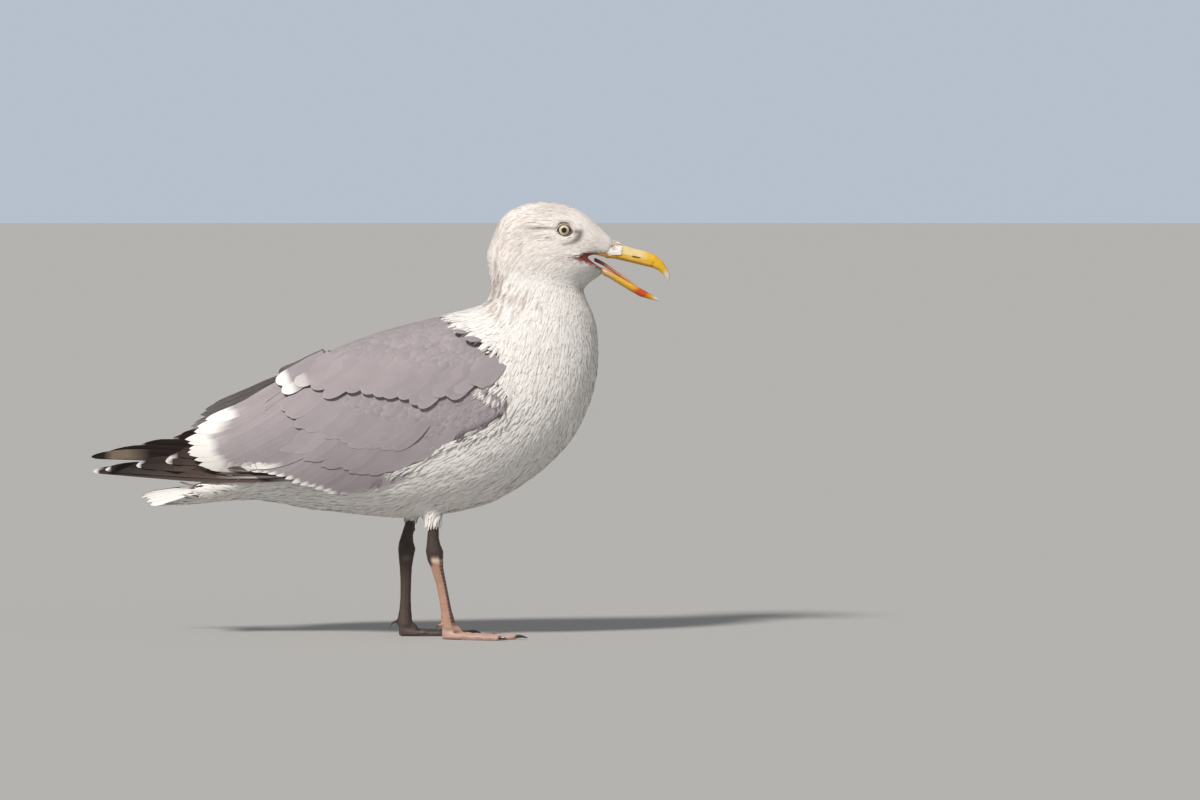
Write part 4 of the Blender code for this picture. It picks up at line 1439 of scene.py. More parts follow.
BROAD = tuple(zip(
    (0.0, 0.08, 0.2, 0.35, 0.5, 0.62, 0.72, 0.8, 0.87, 0.925, 0.965, 0.99, 1.0),
    (0.8, 0.86, 0.92, 0.96, 0.99, 1.0, 0.99, 0.95, 0.86, 0.71, 0.5, 0.26, 0.08),
))
NARROW = tuple(zip(
    (0.0, 0.1, 0.3, 0.5, 0.64, 0.75, 0.83, 0.89, 0.94, 0.975, 1.0),
    (0.8, 0.9, 1.0, 1.0, 0.98, 0.93, 0.83, 0.68, 0.47, 0.24, 0.05),
))
BLADE = tuple(zip(
    (0.0, 0.1, 0.25, 0.4, 0.55, 0.68, 0.78, 0.86, 0.91, 0.95, 0.975, 0.992, 1.0),
    (0.7, 0.85, 0.97, 1.0, 0.97, 0.88, 0.76, 0.61, 0.48, 0.33, 0.2, 0.1, 0.03),
))


@dataclass(frozen=True)
class Row:
    """A row of large feathers that lie side by side on the folded wing, as seen from the side."""

    name: str
    count: int
    tips: tuple
    roots: tuple
    width: float
    lift: float
    rise: float = 0.8
    white: float = 0.0
    fade: float = 4.0
    sag: float = 0.04
    tilt: float = 0.35
    pale_edge: float = 0.35
    outline: tuple = BROAD
    jitter: float = 0.7
    white_ends: tuple = (1.0, 1.0)

    def shafts(self, rng: Rng) -> Points:
        """Three places on each feather's shaft, from root to tip, as (x, z)."""
        shares = np.linspace(0, 1, self.count)
        roots = along(self.roots, shares) + rng.normal(0, 0.8, (self.count, 2))
        tips = along(self.tips, shares) + rng.normal(0, self.jitter, (self.count, 2))
        run = tips - roots
        down = np.stack([-run[:, 1], run[:, 0]], axis=1)
        return np.stack([roots, (roots + tips) / 2 + down * self.sag, tips], axis=1)


# From the lowest layer to the highest.
WING_ROWS = (
    Row(
        "secondaries", 30,
        ((-162, 157.5), (-150, 154), (-130, 153.2), (-108, 151.8), (-87, 146.2), (-67.5, 139.4),
         (-47.7, 133.4), (-37, 132), (-26, 134), (-12, 137), (-2, 140)),
        ((-90, 208), (-80, 206), (-66, 204), (-50, 202), (-35, 198), (-14, 192), (6, 186), (12, 183),
         (22, 181), (34, 181), (44, 184)),
        9.5, 0.1, rise=0.2, white=6.0, white_ends=(1.2, -0.25), tilt=0.3, outline=NARROW, jitter=0.5,
        sag=0.13,
    ),
    Row(
        "greater_coverts", 22,
        ((-88, 172), (-67, 164), (-47, 157.5), (-27, 152), (-16, 151), (-2, 153), (20, 160), (38, 168)),
        ((-50, 208), (-28, 200), (-8, 194), (10, 188), (22, 186), (36, 186), (56, 190), (72, 196)),
        10.5, 0.9, rise=0.2, pale_edge=0.25, tilt=0.3, outline=NARROW, jitter=1.4, sag=0.11,
    ),
    Row(
        "tertials", 17,
        ((-117, 157), (-134, 155.8), (-150.3, 154.6), (-163, 157.2), (-169.5, 163), (-172, 171),
         (-170.5, 180), (-162, 188), (-150, 197)),
        ((-36, 190), (-44, 196), (-52, 202), (-60, 208), (-66, 214), (-72, 220), (-78, 226), (-82, 230),
         (-84, 233)),
        11.5, 1.9, rise=0.4, white=25.0, fade=11.0, tilt=0.45, outline=NARROW, jitter=1.2, sag=0.08,
    ),
    Row(
        "median_coverts", 17,
        ((-92, 206), (-82, 199), (-72, 194), (-60, 188), (-47, 184.6), (-34, 180), (-20, 176), (-6, 174),
         (10, 176)),
        ((-60, 231), (-51, 228), (-42, 224), (-30, 216), (-14, 210), (2, 205), (16, 202), (30, 202),
         (46, 204)),
        12.0, 1.5, rise=0.5, pale_edge=0.25, jitter=2.4, sag=0.08,
    ),
    Row(
        "scapulars", 22,
        ((94, 229), (82, 228), (68, 222), (54, 221), (40, 215.5), (27, 215), (10, 219), (-6, 221),
         (-22, 224), (-40, 224), (-58, 224), (-76, 226), (-92, 227)),
        ((112, 252), (106, 254), (98, 254), (88, 252), (76, 249), (64, 248), (48, 250), (34, 251),
         (18, 254), (2, 256), (-16, 256), (-34, 256), (-50, 256)),
        14.5, 1.6, rise=1.7, pale_edge=0.2, tilt=0.3, jitter=2.6, white=12.0, fade=6.0,
        white_ends=(-8.0, 1.0),
    ),
)


class WingSheet:
    """The outer face of one folded wing as a smooth sheet, Y over (x, z), that runs past its edges."""

    WIDE, HIGH = (-176, 118), (128, 300)  # the sampled part, along X and Z
    SPACING = 4.0
    REACH = 6.5
    SQUARE = 0.02  # how strongly the sheet keeps to a level plane where it has few samples

    def __init__(self, solids: Sequence[Surface], plan: Plan, side: Side) -> None:
        """Samples the outermost of the solids where it is grey and faces sideways."""
        self.side = side
        wide, high = np.arange(*self.WIDE, self.SPACING), np.arange(*self.HIGH, self.SPACING)
        rows = []
        for x in wide.tolist():
            for z in high.tolist():
                start, inwards = Vector((x, side.value * FAR, z)), Vector((0, -side.value, 0))
                hits = [solid.tree.ray_cast(start, inwards, FAR) for solid in solids]
                hits = sorted((hit for hit in hits if hit[0] is not None), key=lambda hit: hit[3])
                if hits and hits[0][1].y * side.value > 0.4:
                    rows.append(tuple(hits[0][0]))
        samples = np.array(rows)
        self.samples = samples[plan.grey(samples) > 0.9]

    def at(self, flat: Points) -> tuple[Points, Points]:
        """Carries places from the side view onto the sheet.

        Args:
            flat: Places as (x, z).

        Returns:
            The places in space and the sheet's normals there.
        """
        known, out = self.samples[:, [0, 2]], self.samples[:, 1]
        found = []
        for block in np.array_split(flat, max(1, len(flat) // 400)):
            off = known[None] - block[:, None]
            gaps = (off**2).sum(axis=2)
            nearest = gaps.min(axis=1, keepdims=True)
            weights = np.exp(-(gaps - nearest) / (2 * self.REACH**2))
            terms = np.concatenate([np.ones_like(gaps)[..., None], off], axis=2)
            weighed = terms * weights[..., None]
            total = weights.sum(axis=1)[:, None, None]
            pull = total * np.diag((0, self.SQUARE, self.SQUARE)) * 30
            left = np.einsum("qsi,qsj->qij", weighed, terms) + pull
            right = np.einsum("qsi,s->qi", weighed, out)
            found.append(np.linalg.solve(left, right[..., None])[..., 0])
        plane = np.concatenate(found)
        places = np.stack([flat[:, 0], plane[:, 0], flat[:, 1]], axis=1)
        normals = np.stack([-plane[:, 1], np.ones(len(plane)), -plane[:, 2]], axis=1)
        return places, unit(normals) * self.side.value


@dataclass
class LaidFeathers:
    """The rows of large feathers on one folded wing."""

    plan: Plan
    sheet: WingSheet
    side: Side
    thickness: float = 0.16
    camber: float = 0.9
    sunk: float = 1.5  # how far under the small feathers the roots are
    layer: float = 0.06

    def hugged(self, flat: Points) -> tuple[Points, Points]:
        """Carries places from the side view onto the wing.

        Args:
            flat: Places as (x, z).

        Returns:
            The places in space and the surface's normals there.
        """
        lift = (self.side is Side.LEFT) * self.plan.LEFT_LIFT * step(-60, -130, flat[:, 0])
        return self.sheet.at(flat + np.stack([0 * lift, lift], axis=1))

    def build(self, row: Row, rng: Rng) -> Object:
        """Lays one row.

        Args:
            row: The row.
            rng: The source of chance.

        Returns:
            The row as one object.
        """
        vane = Vane.lofted(14, row.outline)
        across, lens, share = vane.points.T
        shafts = row.shafts(rng)
        count = len(shafts)
        spine = bent(*(shafts[:, place] for place in range(3)), share)
        ahead = unit(bent(*(shafts[:, place] for place in range(3)), share + 0.02) - spine)
        down = np.stack([-ahead[..., 1], ahead[..., 0]], axis=2)
        half = row.width / 2 * rng.uniform(0.92, 1.08, (count, 1))
        flat = spine + down * (across * half)[..., None]
        places, normals = self.hugged(flat.reshape(-1, 2))
        smooth_up = self.evened(normals.reshape(count, -1, 3), across)
        buried = mixed(-self.sunk, row.lift, step(0.0, 0.32, share))
        height = buried + row.rise * share**2 + row.tilt * across - self.camber * across**2 * 0.5
        height = height + lens * self.thickness + self.layer * self.ranks(shafts)[:, None]
        points = places.reshape(count, -1, 3) + smooth_up * height[..., None]
        length = np.linalg.norm(shafts[:, 2] - shafts[:, 0], axis=1)[:, None]
        colours = self.painted(row, across, share, length, rng)
        # undersides painted near white: partly their own paler colour, partly painted light that brightens
        # the shaded hollow between the wings
        colours = coated(colours, (Tone.WHITE, 0.8 * step(-0.1, -0.3, lens)))
        lie = np.stack([across * half, share * length], axis=2) / 10
        name = f"{row.name}_{self.side.word}"
        return joined(name, vane, points, smooth_up, colours, lie, self.strips(across, share, count))

    @staticmethod
    def ranks(shafts: Points) -> Points:
        """The feathers' order from the lowest to the topmost, each one's lower edge over the next."""
        run = shafts[:, 2] - shafts[:, 0]
        down = np.stack([-run[:, 1], run[:, 0]], axis=1)
        downwards = (np.diff(shafts[:, 2], axis=0) * down[:-1]).sum() > 0
        order = np.arange(len(shafts))
        return order[::-1] if downwards else order

    @staticmethod
    def evened(normals: Points, across: Points) -> Points:
        """The feather's own normals, evened so that the edges don't curl."""
        middle = normals[:, np.abs(across) < 0.6].mean(axis=1, keepdims=True)
        return unit(normals + 0.6 * middle)

    @staticmethod
    def strips(across: Points, share: Points, count: int) -> Points:
        """A map with one strip for each feather."""
        left = (np.arange(count)[:, None] + 0.5) / count + across * 0.4 / count
        return np.stack([left, 0.02 + 0.96 * share * np.ones((count, 1))], axis=2)

    @staticmethod
    def painted(row: Row, across: Points, share: Points, length: Points, rng: Rng) -> Points:
        """Grey with paler edges and a white tip."""
        count = len(length)
        unevenness = 1 + rng.normal(0, 0.035, (count, 1, 1))
        colours = np.broadcast_to(Tone.GREY, (count, len(share), 3)) * unevenness
        edge = row.pale_edge * np.clip(np.abs(across) ** 4 + step(0.9, 1.0, share), 0, 1)
        colours = coated(colours, (Tone.GREY_EDGE, edge))
        if row.white:
            left = (1 - share) * length + 1.5 * np.abs(across) * row.fade / 6
            white_share = step(row.white + row.fade / 2, row.white - row.fade / 2, left)
            white_share = white_share * np.clip(np.linspace(*row.white_ends, count) * 3, 0, 1)[:, None]
            colours = coated(colours, (Tone.WHITE, white_share))
        return colours


@dataclass(frozen=True)
class Blade:
    """One long flight feather: its run, its widths, its place in the stack and its marks."""

    run: tuple
    half_width: float
    layer: float
    tip_white: float = 0.0
    pale: tuple = ()


# The outer primaries of the right wing, from the innermost layer outwards; runs are (x, z).
PRIMARIES = (
    Blade(
        ((-70, 147), (-135, 146.0), (-176, 147.4), (-216, 149.8), (-242, 150.6), (-259.2, 149.6)),
        5.6, 1.4, 6.0, (-94, -68),
    ),
    Blade(
        ((-70, 150), (-135, 150.0), (-176, 151.6), (-212, 153.0), (-232, 152.8), (-248.0, 151.2)),
        6.2, 0.5, 4.5, (-124, -93),
    ),
    Blade(
        ((-70, 152), (-128, 154.5), (-162, 156.6), (-190, 157.4), (-206, 157.0), (-219.5, 155.2)),
        7.0, -0.4, 5.0, (-141, -106),
    ),
    Blade(
        ((-70, 154), (-118, 159.0), (-148, 162.0), (-170, 163.2), (-182, 162.0), (-192.5, 159.6)),
        7.6, -1.3, 7.0,
    ),
    Blade(
        ((-70, 155), (-110, 163.0), (-138, 167.0), (-158, 168.5), (-170, 167.8), (-181.0, 166.4)),
        8.0, -2.1, 0.0,
    ),
)


@dataclass
class Primaries:
    """The folded primaries of one wing, in place of their solid."""

    plan: Plan
    form: Surface
    side: Side
    thickness: float = 0.22
    left_lift: float = 15.5
    clear: float = 3.2
    body_end: float = -196.0

    # The stack's middle, Y at each X, on the right wing and on the left one.
    MIDDLES = {
        Side.RIGHT: (
            (-260, 9.0), (-252, 7.0), (-234, 3.0), (-216, -1.5), (-198, -5.5),
            (-176, -9), (-158, -15), (-135, -25.5), (-100, -36.5), (-70, -42),
        ),
        Side.LEFT: (
            (-261, -12.0), (-252, -10.0), (-234, -5.5), (-216, -0.5), (-198, 4.0),
            (-176, 9), (-158, 15), (-135, 26), (-100, 36.5), (-70, 42.5),
        ),
    }

    def build(self) -> Object:
        """Makes the stack as one object."""
        vane = Vane.lofted(14, BLADE)
        across, lens, share = vane.points.T
        sign = self.side.value
        middles = np.array(self.MIDDLES[self.side])
        points, colours, lies, ups = [], [], [], []
        for blade in PRIMARIES:
            run = along(blade.run, share)
            lift = 0.0
            if self.side is Side.LEFT:
                lift = self.left_lift * step(-60, -200, run[:, 0]) - 1.6 * step(-200, -260, run[:, 0])
            x, z = run[:, 0], run[:, 1] + lift + across * blade.half_width
            y = np.interp(x, *middles.T)
            low = np.interp(x, *self.plan.BOTTOM.T)
            body = self.form.beside(np.stack([x, np.minimum(z, low - 2)], axis=1), sign)[0][:, 1]
            over = np.maximum(sign * (body - y) + self.clear, 0) * (x > self.body_end)
            push = over * step(low + 8, low - 2, z)
            layer = -sign * blade.layer + sign * push
            lean = -sign * across * 1.3
            bulge = sign * (0.5 * (1 - across**2) + lens * self.thickness)
            points.append(np.stack([x, y + layer + lean + bulge, z], axis=1))
            ups.append(np.tile((0.0, float(sign), 0.12), (len(x), 1)))
            lies.append(np.stack([across * blade.half_width, share * 190.0], axis=1) / 10)
            colours.append(self.painted(blade, x, across))
        name = "primaries_" + self.side.word + "_vanes"
        stack = [np.array(rows) for rows in (points, ups, colours, lies)]
        strips = LaidFeathers.strips(across, share, len(PRIMARIES))
        return joined(name, vane, stack[0], unit(stack[1]), stack[2], stack[3], strips)

    def painted(self, blade: Blade, x: Points, across: Points) -> Points:
        """Brown-black, blackest at the tip, with the white tip and pale patches; on the left wing, painted
        shade makes them half as bright.
        """
        left = self.side is Side.LEFT
        edge = 0.25 * np.abs(across) ** 5
        colours = coated(Tone.BLACK_WARM, (Tone.BLACK, step(-150, -215, x)), ((0.2, 0.14, 0.11), edge))
        # painted shade: the far, left wing's primaries are painted half as bright
        if left:
            colours *= 0.5
        if blade.tip_white and not (left and blade is PRIMARIES[0]):
            limit = blade.tip_white * (0.8 + 0.4 * across + 0.12 * np.sin(across * 7))
            colours = coated(colours, (Tone.WHITE, step(limit + 0.5, limit - 0.5, x - x.min())))
        if blade.pale:
            low, high = blade.pale
            patch = step(low - 0.4, low + 0.4, x - 3.0 * across) * step(high + 1, high - 1, x)
            colours = coated(colours, (Tone.WHITE, patch * step(-0.75, -0.6, across)))
        # the white spot on the left outer feather, painted in a shaded tone
        if left and blade is PRIMARIES[0]:
            patch = step(-247, -245, x) * step(-211, -213, x) * step(-0.85, -0.6, across)
            colours = coated(colours, ((0.19, 0.145, 0.105), patch))
        return colours


@dataclass
class Tail:
    """The folded tail feathers, in place of their solid."""

    count: int = 10
    thickness: float = 0.2
    half_width: float = 6.4
    root_x: float = -140.0
    spread_half: float = 22.0

    def build(self, rng: Rng) -> Object:
        """Makes the fan as one object, the middle pair on top."""
        vane = Vane.lofted(14, NARROW)
        across, lens, share = vane.points.T
        white = np.array(Tone.WHITE) * 1.08
        order = sorted(np.linspace(-1, 1, self.count).tolist(), key=abs, reverse=True)
        points, ups, lies, colours = [], [], [], []
        for layer, place in enumerate(order):
            tip_x = -215.0 + 9.0 * abs(place) ** 1.6 + rng.normal(0, 1.6)
            x = self.root_x + (tip_x - self.root_x) * share
            y = place * (8.0 + (self.spread_half - 8.0) * share) + across * self.half_width
            arch = 12.5 * (np.abs(y) / 27.0) ** 2 * (0.5 + 0.5 * share)
            ridge = np.interp(x, (-214, -204, -190, -170, -140), (128.4, 132.6, 135.6, 138.2, 139.5))
            height = 0.42 * layer * share - 0.6 * across * np.sign(place) + lens * self.thickness
            points.append(np.stack([x, y, ridge - 3.2 - arch + height], axis=1))
            ups.append(unit(np.stack([0 * x, 0.035 * y, 1 + 0 * x], axis=1)))
            lies.append(np.stack([across * self.half_width, share * 72.0], axis=1) / 10)
            tone = 1 - 0.06 * np.exp(-((across / 0.07) ** 2)) + rng.normal(0, 0.01)
            warm = coated(white, ((0.80, 0.74, 0.64), 0.35 * step(0.85, 1.0, share)))
            colours.append(warm * tone[:, None])
        strips = LaidFeathers.strips(across, share, self.count)
        stack = [np.array(rows) for rows in (points, ups, colours, lies)]
        return joined("tail_feathers", vane, *stack, strips)


@dataclass
class FlightFeathers:
    """The rows on both wings, the primaries and the tail."""

    nodes: dict[str, Object]
    plan: Plan
    form: Surface

    def build(self, rng: Rng, effects: Effects) -> None:
        """Makes and dresses them all."""
        grey = PlumageFinish("covert_vanes", 16.0, 1.2, 0.00009, 0.09, 0.7).build(effects)
        dark = PlumageFinish("primary_vanes", 14.0, 1.4, 0.00012, 0.16, 0.5, 0.05).build(effects)
        white = PlumageFinish("tail_vanes", 14.0, 1.2, 0.00012, 0.08, 0.7).build(effects)
        for side in Side:
            wing = surface_of(merged_node(self.nodes["wing_" + side.word]))
            laid = LaidFeathers(self.plan, WingSheet((self.form, wing), self.plan, side), side)
            for row in WING_ROWS:
                placed(laid.build(row, rng), grey, "mantle_feathers")
            stack = Primaries(self.plan, self.form, side).build()
            placed(stack, dark, "flight_feathers", "primaries_" + side.word)
        placed(Tail().build(rng), white, "white_feathers", "tail")


# ---------- the head's bare parts


def swept(frames: Sequence[Matrix], segments: int = 12) -> BMesh:
    """A closed tube whose ring is carried from frame to frame.

    Args:
        frames: What takes the unit circle to each station.
        segments: How many corners the ring has.

    Returns:
        A bmesh.
    """
    shape = bmesh.new()
    ring = bmesh.ops.create_circle(shape, cap_ends=True, segments=segments, radius=1.0)["verts"]
    bmesh.ops.transform(shape, matrix=frames[0], verts=ring)
    edges = list(shape.edges)
    for before, after in zip(frames, frames[1:]):
        grown = bmesh.ops.extrude_edge_only(shape, edges=edges)["geom"]
        ring = [item for item in grown if isinstance(item, BMVert)]
        rim = set(ring)
        edges = [item for item in grown if isinstance(item, BMEdge) and rim.issuperset(item.verts)]
        bmesh.ops.transform(shape, matrix=after @ before.inverted(), verts=ring)
    bmesh.ops.edgeloop_fill(shape, edges=edges)
    bmesh.ops.recalc_face_normals(shape, faces=shape.faces)
    return shape


def framed(places: Points, up: Points, sizes: Points) -> list[Matrix]:
    """Frames for swept, one at each place.

    Args:
        places: The tube's middle line.
        up: At each place, the way of the ring's second axis.
        sizes: At each place, the ring's half sizes across and up.

    Returns:
        The frames.
    """
    ahead = unit(np.gradient(places, axis=0))
    aside = unit(np.cross(up, ahead))
    rise = np.cross(ahead, aside)
    frames = []
    for place, first, second, third, (across, high) in zip(places, aside, rise, ahead, sizes):
        columns = Matrix((first * across, second * high, third)).transposed()
        frames.append(Matrix.Translation(Vector(place)) @ columns.to_4x4())
    return frames


@dataclass(frozen=True)
class HornFinish:
    """Smooth horn with fine lines along it, such as a bill or a claw."""

    name: str
    roughness: float = 0.34
    line_scale: tuple = (40.0, 500.0, 700.0)
    depth: float = 0.00006
    low: float = 0.88
    soft: float = 0.12

    def build(self, effects: Effects) -> Finish:
        """Makes the material."""
        finish = Finish(
            self.name, effects, Roughness=self.roughness, Subsurface_Weight=self.soft, Subsurface_Scale=0.002
        )
        tree = finish.tree
        stretched = node(tree, "ShaderNodeMapping", {"Vector": finish.place, "Scale": self.line_scale})
        lines = noise(tree, stretched.outputs[0], 1.0)
        tone = sums(tree, "MULTIPLY_ADD", lines, 2 * (1 - self.low), 2 * self.low - 1)
        tone = sums(tree, "MULTIPLY", tone, finish.mottle(260.0, 0.93, 1.05))
        finish.colour_by(tone)
        finish.feed("Roughness", sums(tree, "MULTIPLY_ADD", lines, 0.2, self.roughness - 0.1))
        finish.bump(lines, self.depth)
        return finish


@dataclass(frozen=True)
class FleshFinish:
    """Wet or leathery bare skin: lids, gape, tongue and the lining of the mouth."""

    name: str
    roughness: float = 0.35
    fold_scale: float = 420.0
    depth: float = 0.00012

    def build(self, effects: Effects) -> Finish:
        """Makes the material."""
        finish = Finish(
            self.name, effects, Roughness=self.roughness, Subsurface_Weight=0.2, Subsurface_Scale=0.0025
        )
        tree = finish.tree
        folds = noise(tree, finish.place, self.fold_scale, Distortion=0.8)
        finish.colour_by(sums(tree, "MULTIPLY_ADD", folds, 0.5, 0.75))
        finish.bump(folds, self.depth)
        return finish


@dataclass(frozen=True)
class EyeFinish:
    """A clear wet eye: a black pupil, a pale iris with fine fibres and a dark rim."""

    pupil: float = 2.15
    iris: float = 4.75
    reach: float = 8.0

    def build(self, effects: Effects) -> Finish:
        """Makes the material."""
        finish = Finish(
            "eye", effects, Roughness=0.5, Specular_IOR_Level=0.1, Coat_Weight=1.0, Coat_Roughness=0.02
        )
        tree = finish.tree
        parts = node(tree, "ShaderNodeSeparateXYZ", {0: finish.uv(LIE)})
        turn, reach = parts.outputs[0], parts.outputs[1]
        spun = node(tree, "ShaderNodeCombineXYZ", {0: sums(tree, "MULTIPLY", turn, 55.0), 1: reach})
        fibres = noise(tree, spun.outputs[0], 1.6)
        ragged = sums(tree, "MULTIPLY_ADD", fibres, 0.35, sums(tree, "SUBTRACT", reach, 0.17))
        ramp = node(tree, "ShaderNodeValToRGB", {0: sums(tree, "DIVIDE", ragged, self.reach)})
        stops = (
            (0.0, (0.004, 0.004, 0.004)),
            (self.pupil, (0.006, 0.005, 0.004)),
            (self.pupil + 0.22, (0.20, 0.15, 0.08)),
            (self.pupil + 0.6, (0.52, 0.46, 0.31)),
            (self.iris - 1.0, (0.66, 0.61, 0.46)),
            (self.iris - 0.35, (0.44, 0.39, 0.28)),
            (self.iris, (0.10, 0.07, 0.05)),
            (self.iris + 0.35, (0.02, 0.015, 0.013)),
        )
        elements = ramp.color_ramp.elements
        while len(elements) < len(stops):
            elements.new(0.5)
        for element, (radius, colour) in zip(elements, stops):
            element.position = radius / self.reach
            element.color = (*colour, 1.0)
        tone = sums(tree, "MULTIPLY_ADD", fibres, 0.5, 0.75)
        finish.feed("Base Color", finish.toned(ramp.outputs[0], tone))
        return finish


@dataclass
class Eye:
    """One eye with its lids."""

    side: Side
    centre: Vector
    radius: float
    cornea: float = 0.35
    opening: float = 4.9
    corner: float = 1.15
    lid_depth: float = 1.0

    def ball(self) -> Object:
        """The eyeball, its pole outwards, with a slightly bulging cornea and polar coordinates."""
        shape = bmesh.new()
        bmesh.ops.create_uvsphere(shape, u_segments=64, v_segments=56, radius=self.radius)
        turn = Matrix.Rotation(-self.side.value * math.pi / 2, 4, "X")
        bmesh.ops.transform(shape, matrix=turn, verts=shape.verts)
        layer = shape.loops.layers.uv.new(LIE)
        for face in shape.faces:
            angles = [math.atan2(loop.vert.co.z, loop.vert.co.x) / math.tau for loop in face.loops]
            wraps = max(angles) - min(angles) > 0.5
            for loop, angle in zip(face.loops, angles):
                place = loop.vert.co
                reach = math.hypot(place.x, place.z)
                if place.y * self.side.value < 0:
                    reach = 2 * self.radius - reach
                loop[layer].uv = (angle + (wraps and angle < 0), reach)
        for vert in shape.verts:
            reach = math.hypot(vert.co.x, vert.co.z)
            if vert.co.y * self.side.value > 0:
                vert.co.y += self.side.value * self.cornea * math.exp(-((reach / 3.6) ** 4))
        bmesh.ops.translate(shape, verts=shape.verts, vec=self.centre)
        return object_of("eyeball_" + self.side.word, shape)

    def lids(self) -> Object:
        """The rim of both lids as one ring, drawn out to a point at each corner."""
        steps = np.linspace(0, math.tau, 14, endpoint=False)
        shape = bmesh.new()
        across, high = 0.85, self.lid_depth
        ring = [(self.opening + across - across * math.cos(turn), high * math.sin(turn), 0) for turn in steps]
        corners = [shape.verts.new(place) for place in ring]
        edges = [shape.edges.new(ends) for ends in zip(corners, corners[1:] + corners[:1])]
        round_y = {"cent": (0, 0, 0), "axis": (0, 1, 0), "angle": math.tau}
        bmesh.ops.spin(shape, geom=corners + edges, steps=128, use_merge=True, **round_y)
        bmesh.ops.remove_doubles(shape, verts=shape.verts, dist=0.001)
        bmesh.ops.recalc_face_normals(shape, faces=shape.faces)
        surface = surface_of(shape)
        points = surface.points.copy()
        turn = np.arctan2(points[:, 2], points[:, 0])
        reach = np.hypot(points[:, 0], points[:, 2])
        front = np.exp(-((turn / 0.30) ** 2))
        away = math.pi - np.abs(turn)
        back = np.exp(-((away / 0.26) ** 2))
        outwards = 1 + (front * self.corner + back * 0.8 * self.corner) / reach
        beads = 0.07 * np.sin(turn * 46) * step(self.opening + 0.5, self.opening + 1.0, reach)
        seat = np.sqrt(np.maximum(self.radius**2 - np.minimum(reach, 6.6) ** 2, 1.0))
        points[:, 1] = points[:, 1] + seat + beads - 0.55 * (front + back)
        points[:, 0] *= outwards
        points[:, 2] *= 1 + 0.05 * np.cos(2 * turn)
        share = step(self.opening + 0.25, self.opening + 0.95, reach)
        colours = coated((0.045, 0.026, 0.022), ((0.50, 0.34, 0.25), share))
        points[:, 1] *= self.side.value
        points += np.array(self.centre)
        faces = surface.faces if self.side is Side.LEFT else surface.faces[:, ::-1]
        return painted_object("eyelids_" + self.side.word, Surface.made(points, faces), colours)


